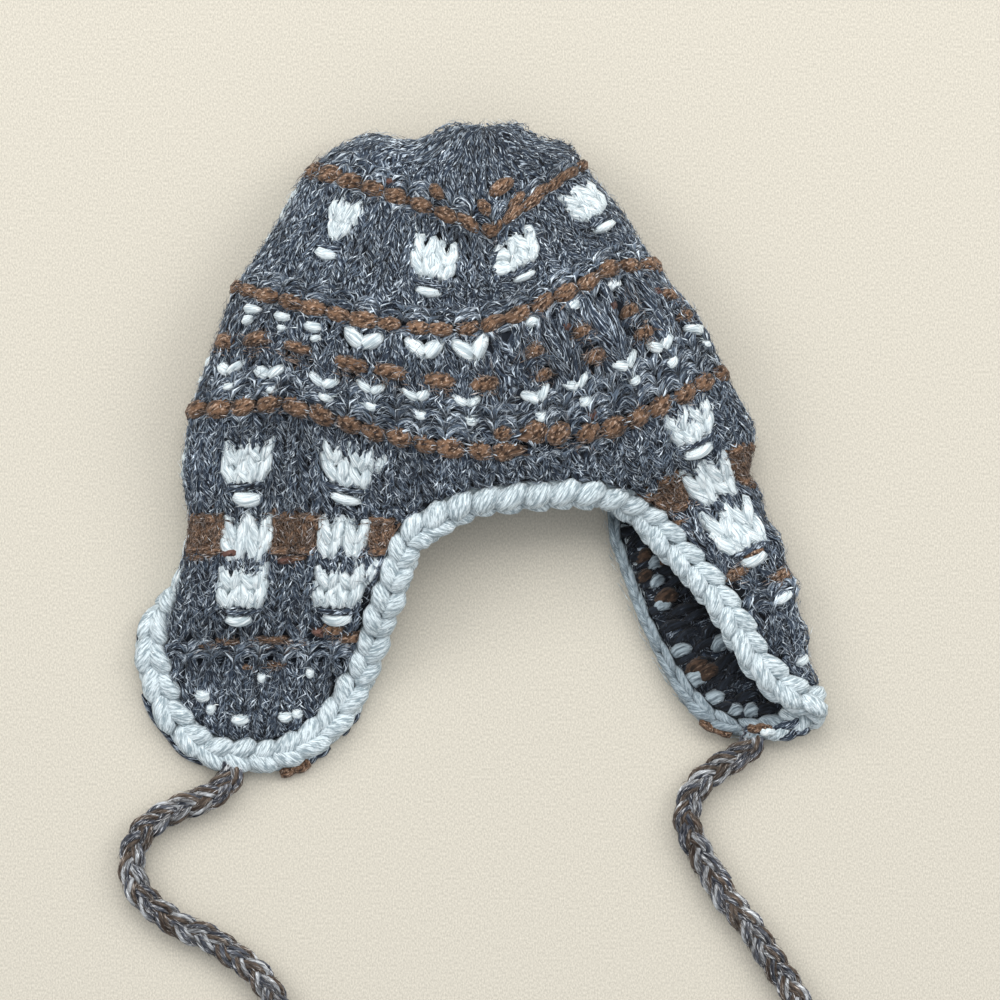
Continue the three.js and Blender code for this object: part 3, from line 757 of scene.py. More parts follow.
CROWN_HEART = np.array((-8.0, 95.0, 23.0))       # the gathered crown is thick towards this point
SURFACE = knit_grid()
down = np.gradient(SURFACE, axis=0)
across = np.roll(SURFACE, -1, axis=1) - np.roll(SURFACE, 1, axis=1)
NORMALS = unit(np.cross(down, across))
NORMALS[0] = unit(np.array((0, 1, 0.2)))
turned = smooth_step((GRID_ROWS - 3.6) / 9.0)[:, None, None]
to_crown = unit(CROWN_HEART - SURFACE)
INWARDS = unit(to_crown * (1 - turned) - NORMALS * turned)
print("the surface has", SURFACE.shape[0], "rows and", SURFACE.shape[1], "wales")

# %% Thickness of the knit
GATHER_END = 5.4         # the crown is gathered down to this row
BEND_SHARE = 0.6         # in a sharp bend the knit is this share of the bend's radius thick


def bends(shift, axis):
    """How sharply the surface bends inwards, as one over the radius in millimetres."""
    ahead, behind = np.roll(SURFACE, -shift, axis), np.roll(SURFACE, shift, axis)
    turn = np.roll(NORMALS, -shift, axis) - np.roll(NORMALS, shift, axis)
    apart = ahead - behind
    return (turn * apart).sum(-1) / np.maximum((apart ** 2).sum(-1), 1e-9)


sharpest = bends(4, 1)
sharpest[4:-4] = np.maximum(sharpest, bends(3, 0))[4:-4]
THICKNESS = np.minimum(WALL, BEND_SHARE / np.maximum(sharpest, 1e-6))
THICKNESS[GRID_ROWS < GATHER_END] = WALL


def sample(grid, wales, rows):
    """Values of a grid at any wale and row."""
    column = ((np.asarray(wales) + WALES / 2) / GRID_STEP) % len(GRID_WALES)
    line = np.clip(np.asarray(rows) / GRID_STEP, 0, len(GRID_ROWS) - 1.001)
    i, j = np.floor(line).astype(int), np.floor(column).astype(int) % len(GRID_WALES)
    a, b = line - i, column - np.floor(column)
    k = (j + 1) % len(GRID_WALES)
    if grid.ndim == 3:
        a, b = a[:, None], b[:, None]
    return ((grid[i, j] * (1 - b) + grid[i, k] * b) * (1 - a)
            + (grid[i + 1, j] * (1 - b) + grid[i + 1, k] * b) * a)


def hem_row(wales):
    return read_table(HEM, 1, np.abs(np.abs(wales) - FLAP_WALE))


# %% [markdown]
# ## Relief of the knit
#
# The wall isn't even. The seam lies in a groove with a narrow cut in the middle, and the crown is
# gathered in folds. Right of the seam, between the two lower ridges, deep grooves part the columns
# of slipped stitches, and low folds lie across the right flap. All of them lift or sink the chart
# as it is wrapped, so the stitches bend with them. The crown's outline has one shallow dip.

# %% Wrapping helper
GROOVE_DEPTH = 2.2       # the seam's groove is one wale wide each way
CUT_DEPTH = 2.2
CUT_WIDTH = 0.35
CUT_START = 5
GATHER_HEIGHT = 1.8
GATHER_FOLDS = 9
PANEL_GROOVES = np.array([0.55, 1.78, 2.95, 4.15, 5.4, 6.6, 7.85, 9.05, 10.3, 11.5])
PANEL_DEPTH = 2.4
PANEL_WIDTH = 0.24
PANEL_START, PANEL_END = 13.8, 17.6
FOLD_WALES = (6.5, 11.5)
FOLD_HEIGHT = 1.3
FOLD_PITCH = 2.6
FOLD_START, FOLD_TOP = 23, 26.2      # the first row with folds, and a row where one is highest
FLOOR_FADE = 10.0        # the relief fades out this near the table, and stitches on the table
FLOOR_SHARE = 0.15       # stand out by this share of their height
DIP_X, DIP_WIDTH, DIP_DEPTH = -33.0, 13.0, 5.0
DIP_START, DIP_SPAN = 116, 16        # the dip starts at this y and is full this much further up


def relief(wales, rows):
    """How far the knit is lifted at each place of the chart."""
    gathers = (GATHER_HEIGHT * np.sin(math.pi * np.minimum(rows, GATHER_END) / GATHER_END)
               * np.cos(2 * math.pi * GATHER_FOLDS * wales / WALES))
    lift = np.where(rows < GATHER_END, gathers, -GROOVE_DEPTH * np.maximum(0, 1 - wales ** 2))
    lift = lift - CUT_DEPTH * np.maximum(0, 1 - (wales / CUT_WIDTH) ** 2) * (rows > CUT_START)
    panel = smooth_step((rows - PANEL_START) / 0.6) * smooth_step((PANEL_END - rows) / 0.8)
    beside = np.abs(wales[:, None] - PANEL_GROOVES).min(axis=1)
    lift = lift - PANEL_DEPTH * np.maximum(0, 1 - (beside / PANEL_WIDTH) ** 2) * panel
    rolled = (smooth_step((wales - FOLD_WALES[0]) / 1.5)
              * smooth_step((FOLD_WALES[1] - wales) / 1.5))
    folds = FOLD_HEIGHT * np.cos(2 * math.pi * (rows - FOLD_TOP) / FOLD_PITCH)
    return lift + folds * rolled * smooth_step((rows - FOLD_START) / 2)


def wrap(wales, rows, heights):
    """Points of the flat chart on the hat, in millimetres. Heights go down to -WALL inside."""
    place = sample(SURFACE, wales, rows)
    normal = unit(sample(NORMALS, wales, rows))
    inwards = unit(sample(INWARDS, wales, rows))
    squeeze = sample(THICKNESS, wales, rows) / WALL
    fade = smooth_step(place[:, 2] / FLOOR_FADE)
    depth = np.minimum(heights, 0)
    lift = relief(local(np.asarray(wales)), rows) * fade * np.clip(1 + depth / WALL, 0, 1)
    proud = np.maximum(heights, 0) * (FLOOR_SHARE + (1 - FLOOR_SHARE) * fade)
    points = (place + normal * (proud + lift)[:, None] - inwards * (depth * squeeze)[:, None])
    dip = DIP_DEPTH * np.exp(-((points[:, 0] - DIP_X) / DIP_WIDTH) ** 2)
    points[:, 1] -= dip * smooth_step((points[:, 1] - DIP_START) / DIP_SPAN)
    points[:, 2] = np.maximum(points[:, 2], 0)
    return points


# %% [markdown]
# ## Stitches
#
# A knit stitch shows its two legs as a V. Its yarn comes up from behind, runs up the front, turns
# over behind the next stitch and comes down again, which is one turn of a simple wave. It is
# modelled once, from a few dozen faces, and copied to every place of the chart. Slipped stitches
# and those of the pale motifs are the same wave with fatter legs. The small pale Vs are two fat
# legs that meet in a sunk point. Purl bumps, dots, spots and the floats over the motifs are short
# arcs of yarn that lie across, and the ridges are rows of thick felted beads. Inside the hat each
# stitch shows as a loop that lies across, half sunk.

# %% Stitch patterns
STITCH_WIDTH = 10.8      # the patterns are drawn in mm for a stitch of this size
STITCH_HEIGHT = 8.0
YARN = 2.75              # radius of the yarn
MID_WALL = -4.35         # the stitches' middle lies this far under the surface


def knit_stitch(tall=0.9, fat=1.0, spread=0.235, deep=1.5, blunt=0.7):
    t = np.linspace(-math.pi, math.pi, 12)
    x = (t / (2 * math.pi) - spread * np.sin(-2 * t)) * STITCH_WIDTH
    y = tall * np.cos(t) * STITCH_HEIGHT
    swing = np.cos(2 * t)
    z = MID_WALL - deep * np.sign(swing) * np.abs(swing) ** blunt
    return as_mesh(yarn_tube(np.stack([x, y, z], axis=1), YARN * fat, 5), "knit_stitch")


def vee_stitch():
    """A wide V of two fat legs that meet in a sunk point."""
    t = np.linspace(-1, 1, 9)
    leg = np.sin(math.pi * np.abs(t) ** 0.8)
    x = t * 0.54 * STITCH_WIDTH
    y = (np.abs(t) - 0.45) * 0.66 * STITCH_HEIGHT
    z = MID_WALL + 0.6 + 2.3 * np.maximum(leg, 0) ** 0.7
    radius = YARN * (0.74 + 0.34 * np.maximum(leg, 0) ** 0.6)
    return as_mesh(yarn_tube(np.stack([x, y, z], axis=1), radius, 6, ends=0.8), "vee_stitch")


def bead_stitch(width=1.0, fat=1.0, rise=0.0, flat=1.0, bow=0.06):
    """A purl bump or a bead: an arc of yarn that comes out, lies across and goes in again."""
    t = np.linspace(-1, 1, 7)
    arch = np.cos(math.pi * t / 2)
    x = t * 0.5 * width * STITCH_WIDTH
    y = bow * STITCH_HEIGHT * arch
    z = MID_WALL + 0.2 + (1.3 + rise) * np.maximum(arch, 0) ** 0.5
    radius = YARN * fat * (0.66 + 0.34 * np.sqrt(np.maximum(arch, 0)))
    return as_mesh(yarn_tube(np.stack([x, y, z], axis=1), radius, 6, ends=0.5, width=flat),
                   "bead_stitch")


def ridge_bead():
    """A felted brown bead, almost as thick as it is long, which sinks in at both ends."""
    t = np.linspace(-1, 1, 7)
    arch = np.sqrt(np.maximum(1 - t ** 2, 0))
    x = t * 0.44 * STITCH_WIDTH
    z = MID_WALL + 0.4 + 3.2 * arch
    radius = YARN * (0.42 + 0.9 * arch)
    return as_mesh(yarn_tube(np.stack([x, 0 * t, z], axis=1), radius, 7, ends=0.3, width=1.05),
                   "ridge_bead")


def inner_bead(width=1.2, fat=1.0):
    """What a stitch shows on the inside of the hat: a loop that lies across, half sunk."""
    t = np.linspace(-1, 1, 6)
    arch = np.cos(math.pi * t / 2)
    line = np.stack([t * 0.5 * width * STITCH_WIDTH, 2.0 * width * arch,
                     -WALL + 3.4 - 1.6 * arch], axis=1)
    return as_mesh(yarn_tube(line, YARN * fat * (0.7 + 0.35 * arch), 6, ends=0.6), "inner_bead")


PATTERNS = {
    "knit": knit_stitch(fat=1.05),
    "vee": vee_stitch(),
    "slipped": knit_stitch(tall=1.0, fat=1.2, spread=0.25, deep=2.0, blunt=0.45),
    "motif": knit_stitch(tall=0.85, fat=1.2, spread=0.27, deep=1.9, blunt=0.45),
    "inner": inner_bead(),
    "inner_dot": inner_bead(width=0.55, fat=1.15),
    "purl": bead_stitch(width=1.1, fat=1.0, rise=0.4, bow=0.35),
    "ridge": ridge_bead(),
    "dot": bead_stitch(width=0.9, fat=0.95, rise=1.3),
    "spot": bead_stitch(width=0.8, fat=1.3, rise=1.5, bow=-0.12),
    "float": bead_stitch(width=1.9, fat=0.42, rise=2.6, bow=-0.15),
}
for key, mesh in PATTERNS.items():
    print(key, "has", len(mesh.polygons), "faces")

# %% [markdown]
# ## The chart
#
# The rows are listed from the crown to the hem: rounds of plain stitches with their number and
# height, then the purled rounds and the three ridges. Colours are charted by the wale on each
# side of the seam. Groups of two pale and two brown stitches repeat every four wales on the lower
# part. What the maker added by hand, such as slipped stitches, floats and beads, comes last.
# A picture of the pattern would be the other way, but it would lie flat on the stitches.

# %% The chart's rows
KNITS = [      # (row, stitches round, height)
    (0.45, 12, 0.75), (1.1, 12, 0.75), (1.8, 12, 0.8), (2.6, 24, 0.85), (3.4, 24, 0.85),
    (4.2, 24, 0.9), (6.6, 36, 0.85), (7.4, 36, 0.9), (8.3, 36, 0.9), (9.2, 36, 0.9),
    (10.1, 36, 0.9), (10.95, 36, 0.9), (11.75, 36, 0.9), (14.4, 40, 1.2), (15.4, 40, 1.0),
    (16.1, 48, 0.9), (16.95, 48, 0.9), (20.2, 48, 0.95), (21.0, 48, 0.9), (21.85, 48, 0.95),
    (22.75, 48, 0.95), (23.65, 48, 0.95), (24.5, 48, 0.95), (25.4, 48, 1.0), (26.4, 48, 1.0),
    (27.35, 48, 1.0), (28.3, 48, 1.0), (29.3, 48, 1.0), (30.25, 48, 1.0), (31.15, 48, 0.95),
    (33.3, 48, 0.9), (34.1, 48, 0.9), (34.9, 48, 0.9), (35.6, 48, 0.8), (36.3, 48, 0.8),
    (36.95, 48, 0.8),
]
PURLS = [(4.9, 30), (5.35, 30), (12.2, 38), (12.75, 38), (17.45, 48), (18.1, 48), (18.7, 48),
         (32.3, 48), (32.8, 48)]
RIDGES = [(5.75, 27), (13.3, 38), (19.3, 44)]


def round_of(count, phase=0.5):
    """The wales of one round of stitches."""
    return (np.arange(count) - count / 2 + phase) * WALES / count


def row_shift(wales, rows):
    """The hand-knitted rows drift a little: how far a charted row lies from its own number."""
    crown = (np.interp(rows, (6.5, 7.4, 9.9, 11.5), (0, 0.6, 0.6, 0))
             * np.interp(np.abs(wales + 1.3), (3.5, 6), (1, 0)))
    small = (np.interp(rows, (16.2, 16.9, 17.8, 18.2), (0, 1, 1, 0))
             * np.interp(wales, (-14, -12.4, -10.5, -8.1, -6.2, -4), (0, 0.4, 0.75, 0.5, 0.2, 0)))
    left = np.interp(rows, (19.3, 22, 23.7, 25.4), (0, -0.9, -0.6, 0))
    right = np.interp(rows, (19.3, 22, 31, 37.3), (0, -1.4, -1.4, 0))
    return (crown + small + left * np.interp(wales, (-9.2, -8), (0, 1)) * (wales < 0)
            + right * np.interp(wales, (3.5, 5.5), (0, 1)))


def near(wales, centres, reach=0.62):
    wales = np.asarray(wales)[:, None]
    return (np.abs(wales - np.asarray(centres)[None, :]) < reach).any(1)


stitches = []      # (pattern, wool, wale, row, width, height, lift): sizes in wales and rows


def place(pattern, wool_name, wales, rows, width, height, lift=0.0):
    for row in np.atleast_1d(rows):
        for wale in np.atleast_1d(wales):
            stitches.append((pattern, wool_name, float(wale), float(row), width, height, lift))


# %% Colours of the chart
CROWN_PAIRS = np.array([-21.3, -16.0, -10.0, -4.0, 1.33, 6.67, 12.0, 17.33, 22.67])
BIG_VS = np.array([-21.6, -18.9, -16.2, -6.75, -3.95, -1.7, 14.4, 16.8, 19.2, 21.6, 24.0])
PALE_BLOBS = np.array([-12.4, -10.7, -9.1])
SMALL_VS = np.array([-22.4, -20.4, -18.4, -16.4, -14.4, -12.4, -10.5, -8.1, -6.2, -4.2, -2.1, 0.7,
                     2.7, 4.9, 6.7, 8.8, 10.8, 12.8, 14.8, 16.8, 18.8, 20.8, 22.8])
PALE_PAIRS = np.concatenate([-np.array([7, 11, 15, 19, 23]), np.array([7, 11, 15, 19, 23])])
BROWN_PAIRS = np.concatenate([-np.array([5, 9, 13, 17, 21]), np.array([5, 9, 13, 17, 21])])
SEAM_COUNT = 40          # in rounds of this many stitches one lies on the seam
SLIPPED_WALES = (0.8, 12)

# The rows that have stitches of another wool, or leave room for stitches that are placed later.
CROWN_ROWS = (7.4, 8.3)
BIG_V_ROW = 14.4
SLIPPED_ROWS = (14.4, 15.4, 16.1)
SMALL_V_ROW = 16.95
PALE_ROWS = (21.85, 22.75, 28.3, 29.3)
BROWN_ROWS = (25.4, 26.4)


def charted(row, wales):
    """The wool of each knit stitch of a row."""
    names = np.full(len(wales), "heather", dtype=object)
    if row in CROWN_ROWS:
        names[near(wales, CROWN_PAIRS, 0.95)] = "ice"
    if row == BIG_V_ROW:
        names[near(wales, BIG_VS, 0.6)] = "skip"
    if row in SLIPPED_ROWS:
        names[(wales > SLIPPED_WALES[0]) & (wales < SLIPPED_WALES[1])] = "skip"
    if row == SMALL_V_ROW:
        names[near(wales, SMALL_VS, 0.4)] = "skip"
    if row in PALE_ROWS:
        names[near(wales, PALE_PAIRS, 0.8)] = "ice"
    if row in BROWN_ROWS:
        names[near(wales, BROWN_PAIRS, 0.8)] = "brown"
        names[near(wales, PALE_PAIRS, 0.8)] = "skip"
    return names


for row, count, pitch in KNITS:
    wales = round_of(count, 0.0 if count == SEAM_COUNT else 0.5)
    width = WALES / count
    for wale, name in zip(wales, charted(row, wales)):
        pattern = "motif" if name == "ice" else "knit"
        if name != "skip":
            lift = {"ice": 0.5, "brown": 0.2}.get(name, 0.0)
            place(pattern, name, wale, row, width, pitch, lift)
for row, count in PURLS:
    wales = round_of(count)
    place("purl", "heather", wales[::2], row, WALES / count, 0.9)
    place("purl", "pale_heather", wales[1::2], row, WALES / count, 0.95, 0.2)
LAST_RIDGE = RIDGES[-1][0]
for row, count in RIDGES:
    place("purl", "heather", round_of(count, 0.0), row - 0.3, WALES / count, 0.8, -0.3)
    # The row below each ridge is of the paler heather: painted light that softens the ridge's
    # shadow.
    place("purl", "pale_heather", round_of(count, 0.0), row + 0.66, WALES / count, 0.8, -0.9)
    for wale in round_of(count):
        # The last ridge starts high, right of the seam, and comes down over three wales.
        jog = 0.9 * np.interp(wale, (0, 1.2, 3.4), (1, 0.8, 0)) * (wale > 0) * (row == LAST_RIDGE)
        place("ridge", "brown", wale, row - jog, WALES / count, 1.12, 0.2)
place("ridge", "brown", -0.5, 18.4, 0.85, 0.8, 0.3)

# %% Slipped stitches, floats and beads
for pair in PALE_PAIRS:
    place("slipped", "ice", (pair - 0.5, pair + 0.5), (25.75, 26.45), 1.0, 1.05, 0.6)
    place("motif", "ice", pair, (22.95, 29.5), 0.8, 0.7, 0.9)
    place("spot", "ice", pair, (23.95, 30.5), 1.15, 0.85, 0.7)
    place("float", "heather", (pair - 0.1, pair + 0.1), (23.4, 30.0), 1.0, 1.0, 0.6)
place("motif", "ice", (-10.5, -9.5), 7.5, 1.1, 0.8, 0.6)
for pair in CROWN_PAIRS:
    place("motif", "ice", pair, 8.5, 1.0, 0.7, 0.9)
    place("spot", "ice", pair, 9.85, 1.4, 0.95, 0.7)
    place("float", "heather", (pair - 0.1, pair + 0.1), 9.3, 1.33, 1.0, 0.6)
for pair in BROWN_PAIRS:
    place("dot", "brown", pair, 27.2, 0.9, 0.6)
    place("motif", "brown", (pair - 0.5, pair, pair + 0.5), 25.9, 0.9, 0.95, 0.1)
    place("dot", "brown", (pair - 0.5, pair + 0.5), 25.05, 0.95, 1.0, 0.0)
    place("dot", "brown", (pair - 0.45, pair + 0.45), 26.8, 1.1, 0.8, 0.0)
for pair in PALE_PAIRS:
    place("knit", "heather", pair, (21.2, 27.65), 0.75, 0.95, 1.1)
place("motif", "ice", -5.85, (21.85, 28.05), 0.9, 0.85, 0.5)

# %% Vs, spots and dots between the ridges
RIGHT_DOTS = (1.15, 3.55, 6.05, 8.5, 11.0)
for wale in BIG_VS:
    place("knit", "heather", wale, 14.3, 1.2, 1.2)
    place("vee", "ice", wale, 14.45, 1.4, 1.15, 0.7)
for wale in PALE_BLOBS:
    place("spot", "ice", wale, 14.3, 0.85, 0.8, 0.4)
    place("spot", "ice", wale + 0.2, 15.0, 0.5, 0.6, 0.1)
for wale in SMALL_VS:
    place("knit", "heather", wale, 16.6, 1.0, 0.9)
    place("vee", "ice", wale, 16.95, 1.02, 0.68, 0.6)
    place("spot", "ice", wale + 0.15, 17.75, 0.6, 0.6, 0.1)
    if not 0 < wale + 0.95 < 12:
        place("dot", "brown", wale + 0.95, 16.1, 1.5, 1.3, 0.9)
for wale in RIGHT_DOTS:
    place("dot", "brown", wale - 0.15, 15.15, 1.0, 0.95, 0.5)
    place("dot", "brown", wale + 0.1, 16.15, 1.0, 0.9, 0.5)
    place("purl", "heather", (wale - 0.1, wale + 0.2), 15.65, 1.2, 0.6, 0.6)
    place("knit", "heather", wale, 14.35, 1.2, 0.9)
    place("slipped", "heather", wale + 1.22, (14.75, 15.45, 16.1), 1.15, 1.15, 0.5)

# %% Single dots of other wool
SINGLES = (      # (pattern, wool, height, lift, the wale, row and width of each)
    ("dot", "russet", 0.75, 0.5,
     ((2.9, 14.7, 0.6), (5.3, 14.75, 0.6), (7.6, 14.9, 0.5), (-11.6, 26.9, 0.8),
      (-9.3, 27.3, 0.9), (-7.6, 31.4, 0.6), (3.1, 18.5, 0.5), (-8.0, 5.1, 0.7))),
    ("dot", "ice", 0.8, 0.3, ((1.2, 14.05, 0.9), (3.4, 14.05, 0.9), (5.6, 14.05, 0.9))),
    ("spot", "ice", 0.75, 0.1,
     ((-10.5, 36.0, 0.75), (-8.7, 36.0, 0.6), (-8.2, 35.75, 0.5), (-9.8, 33.8, 0.4),
      (-7.8, 33.6, 0.4), (-12.2, 34.8, 0.6), (-11.8, 35.4, 0.4))),
    ("spot", "ice", 0.7, 0.5, ((8.0, 35.6, 0.8), (7.5, 32.6, 0.8))),
    ("dot", "brown", 0.55, -0.2,
     ((-12.4, 32.1, 0.9), (-11.4, 31.9, 1.1), (-9.6, 31.85, 1.2), (-8.6, 32.0, 0.9),
      (-9.2, 33.2, 1.0), (-10.4, 33.25, 0.8))),
    ("dot", "brown", 1.0, 0.5,
     ((-7.1, 31.3, 0.9), (-6.3, 31.7, 1.2), (6.2, 30.8, 1.0), (7.0, 30.4, 0.9), (7.8, 31.8, 0.9))),
    ("ridge", "brown", 0.95, 0.8,
     ((-0.6, 4.5, 1.2), (1.2, 3.7, 2.2), (-4.4, 4.7, 1.2), (2.3, 4.9, 1.4), (1.6, 5.6, 1.3),
      (4.2, 5.5, 1.6), (6.2, 5.6, 1.6))),
)
for pattern, wool_name, height, lift, spots in SINGLES:
    for wale, row, width in spots:
        place(pattern, wool_name, wale, row, width, height, lift)
print("the chart has", len(stitches), "stitches")

# %% The inside of the knit
INSIDE_FROM, INSIDE_TO = 17.0, 37.4
INSIDE_PITCH = 0.62
INSIDE_DOTS = {      # (x, y, width) of the dots that show on the inside of the right flap
    "dim_ice": [
        (75.5, -54.2, 0.7), (76.4, -63.9, 0.8), (78.6, -73.3, 0.8), (82.1, -83.5, 0.9),
        (88.4, -100.3, 1.3), (94.1, -111, 1.0), (102.1, -116.8, 1.2), (111, -120.8, 0.9),
        (117.2, -121.2, 0.9), (106.1, -96.8, 1.0), (112.3, -96.3, 0.9)],
    "dim_brown": [
        (71.9, -61.3, 0.9), (72.2, -69.3, 0.9), (81.3, -62.2, 0.8), (85.2, -79.9, 1.0),
        (96, -104.4, 1.2), (101, -109.4, 1.2), (91.6, -115.2, 1.0), (98.6, -119.2, 1.0)],
}


def under_flap(x, y):
    """The wale and row of a spot on the part of the right flap that is folded under."""
    columns = np.flatnonzero((GRID_WALES > 9.5) & (GRID_WALES < 18))
    lines = np.flatnonzero(GRID_ROWS > 24)
    places = SURFACE[np.ix_(lines, columns)]
    gap = np.hypot(places[:, :, 0] - x, places[:, :, 1] - y)
    i, j = np.unravel_index(gap.argmin(), gap.shape)
    return GRID_WALES[columns[j]], GRID_ROWS[lines[i]]


for number, row in enumerate(np.arange(INSIDE_FROM, INSIDE_TO, INSIDE_PITCH)):
    place("inner", "inner", round_of(48, 0.5 if number % 2 else 0.0), row, 1.0, 0.8)
for wool_name, spots in INSIDE_DOTS.items():
    for x, y, width in spots:
        wale, row = under_flap(x, y)
        place("inner_dot", wool_name, wale, row, width, 1.0, -1.2)

# %% [markdown]
# ## Knitting the chart
#
# All stitches of one wool become one mesh. The pattern's mesh is added once for each stitch, and
# then all points are moved at once: from the pattern to the chart, and from the chart to the hat.
# What would stick out past the hem is drawn back to it, where the border covers it.

# %% Keeping stitches inside the hem
HEM_SCALE = np.array((STITCH_WIDTH, 8.5))        # mm of one wale and of one row near the hem
HEM_INSET = 0.05
hem_wales = np.arange(-WALES / 2, WALES / 2 + 0.01, 0.04)
HEM_LINE = np.stack([hem_wales, hem_row(hem_wales)], axis=1)


def inside_hem(wales, rows):
    """Moves points that lie past the hem to the nearest place on it."""
    outside = np.flatnonzero(rows > hem_row(wales) - HEM_INSET)
    for part in np.array_split(outside, max(1, len(outside) // 2000)):
        here = np.stack([wales[part], rows[part]], axis=1) * HEM_SCALE
        gap = ((here[:, None, :] - (HEM_LINE * HEM_SCALE)[None]) ** 2).sum(-1)
        best = gap.argmin(1)
        wales[part] = HEM_LINE[best, 0]
        rows[part] = HEM_LINE[best, 1] - HEM_INSET
    return wales, rows


# %% Making the knit
SEAM_SHIFT = 0.2         # stitches next to the seam lean away from it this far, in wales
FIRST_ROW = 0.02
DEEPEST = -6.9           # outer stitches go down to here, so that none comes through inside
TURN_SPREAD = 0.08       # how uneven a hand-knitted stitch is: turned, in radians,
SIZE_SPREAD = 0.06       # bigger or smaller,
WALE_SPREAD = 0.05       # moved along its row or wale,
ROW_SPREAD = 0.04
HEIGHT_SPREAD = 0.2      # and proud or sunk
INNER_LOOSENESS = 3.5    # the loops inside are this much more uneven


def knit_piece(chosen, name):
    """One mesh of all the chosen stitches, on the hat."""
    patterns = [PATTERNS[stitch[0]] for stitch in chosen]
    mesh = copies(patterns, name)
    points = places_of(mesh)
    count = len(chosen)
    owner = np.repeat(np.arange(count), [len(pattern.vertices) for pattern in patterns])
    wale, row, width, height, lift = np.array([stitch[2:] for stitch in chosen])[owner].T
    loose = INNER_LOOSENESS if chosen[0][0] == "inner" else 1.0
    turn = rng.normal(0, TURN_SPREAD * loose, count)[owner]
    size = rng.normal(1, SIZE_SPREAD, count)[owner]
    x = (points[:, 0] * np.cos(turn) - points[:, 1] * np.sin(turn)) * size
    y = (points[:, 0] * np.sin(turn) + points[:, 1] * np.cos(turn)) * size
    wales = local(wale + x / STITCH_WIDTH * width + rng.normal(0, WALE_SPREAD, count)[owner])
    rows = row + row_shift(wale, row) - y / STITCH_HEIGHT * height
    rows = rows + rng.normal(0, ROW_SPREAD * loose, count)[owner]
    heights = points[:, 2] + lift + rng.normal(0, HEIGHT_SPREAD, count)[owner]
    if not chosen[0][0].startswith("inner"):
        heights = np.maximum(heights, DEEPEST)
    beside_seam = np.clip(1.4 - np.abs(wales), 0, 1) * (rows > CUT_START)
    wales = wales + SEAM_SHIFT * np.sign(wales) * beside_seam
    wales, rows = inside_hem(wales, np.maximum(rows, FIRST_ROW))
    move_to(mesh, wrap(wales, rows, heights))
    slide_streaks(mesh, [len(pattern.loops) for pattern in patterns])
    return mesh


def exists(stitch):
    """Whether a charted stitch lies inside the hem, or close enough to be drawn back to it."""
    wale, row = stitch[2], stitch[3] + float(row_shift(np.array([stitch[2]]), stitch[3])[0])
    return row < hem_row(np.array([wale]))[0] + 0.15


knitted = [stitch for stitch in stitches if exists(stitch)]
KNIT_WOOLS = {
    "heather": HEATHER, "ice": ICE, "brown": BROWN, "russet": RUSSET, "inner": INNER,
    "pale_heather": PALE_HEATHER, "dim_ice": DIM_ICE, "dim_brown": DIM_BROWN,
}
for wool_name, material in KNIT_WOOLS.items():
    chosen = [stitch for stitch in knitted if stitch[1] == wool_name]
    mesh = knit_piece(chosen, wool_name + "_stitches")
    finished(mesh, wool_name + "_stitches", [material], ["knit_body"])

# %% [markdown]
# ## The felt inside the knit, in painted shade
#
# Thick wool felts together between its stitches, so no light comes through. A thin sheet in the
# middle of the knit stands for that. It has the dark shadow wool, so where it shows between the
# stitches it is painted shade. It goes down to the hem and back up again, so that it is closed,
# like a bag with a double wall.

# %% Felt sheet
FELT_OUTSIDE = -3.4
FELT_INSIDE = -6.6
FELT_COLUMNS = 144
FELT_ROWS = 44


def felt_shade_mesh():
    """A grid that goes down the outside, round the hem and up the inside."""
    bm = bmesh.new()
    bm.loops.layers.uv.new(UV_NAME)
    bmesh.ops.create_grid(bm, x_segments=FELT_COLUMNS, y_segments=2 * FELT_ROWS + 1, size=0.5,
                          calc_uvs=True)
    mesh = as_mesh(bm, "knit_felt_shade")
    points = places_of(mesh)
    wales = local((points[:, 0] + 0.5) * WALES - WALES / 2)
    line = np.round((points[:, 1] + 0.5) * (2 * FELT_ROWS + 1)).astype(int)
    outer = line <= FELT_ROWS
    share = np.where(outer, line, 2 * FELT_ROWS + 1 - line) / FELT_ROWS
    rows = 0.3 + share * (hem_row(wales) - 0.35)
    move_to(mesh, wrap(wales, rows, np.where(outer, FELT_OUTSIDE, FELT_INSIDE)))
    bm = bmesh.new()
    bm.from_mesh(mesh)
    bmesh.ops.remove_doubles(bm, verts=bm.verts, dist=1e-3)
    bmesh.ops.holes_fill(bm, edges=bm.edges)
    bmesh.ops.recalc_face_normals(bm, faces=bm.faces)
    bpy.data.meshes.remove(mesh)
    return as_mesh(bm, "knit_felt_shade")


finished(felt_shade_mesh(), "knit_felt_shade", [INNER], ["knit_body"])

# %% [markdown]
# ## The crocheted border
#
# The border is a row of crochet in icy wool. Its chain shows as two rows of leaf-shaped loops
# that slant towards each other. Each leaf is a short fat strand that swells in the middle. The
# leaves follow the hem all the way round, one layer on the outside of the hat and one inside.
# On the flaps' tips they are shorter, and at the nape the row next to the knit is the fatter one.

# %% Line of the hem
GAP = 0.3                # the border's leaves are counted from this far outside the hem
fine_wales = np.arange(-WALES / 2, WALES / 2, 0.02)
hem_rows = hem_row(fine_wales)
hem_outside = wrap(fine_wales, hem_rows, np.zeros(len(fine_wales)))
hem_inside = wrap(fine_wales, hem_rows, np.full(len(fine_wales), -WALL))
hem_middle = (hem_outside + hem_inside) / 2
hem_upwards = hem_outside - hem_inside
hem_length = running_length(np.vstack([hem_middle, hem_middle[:1]]))
HEM_TOTAL = hem_length[-1]
print(f"the hem is {HEM_TOTAL:.0f} mm long")


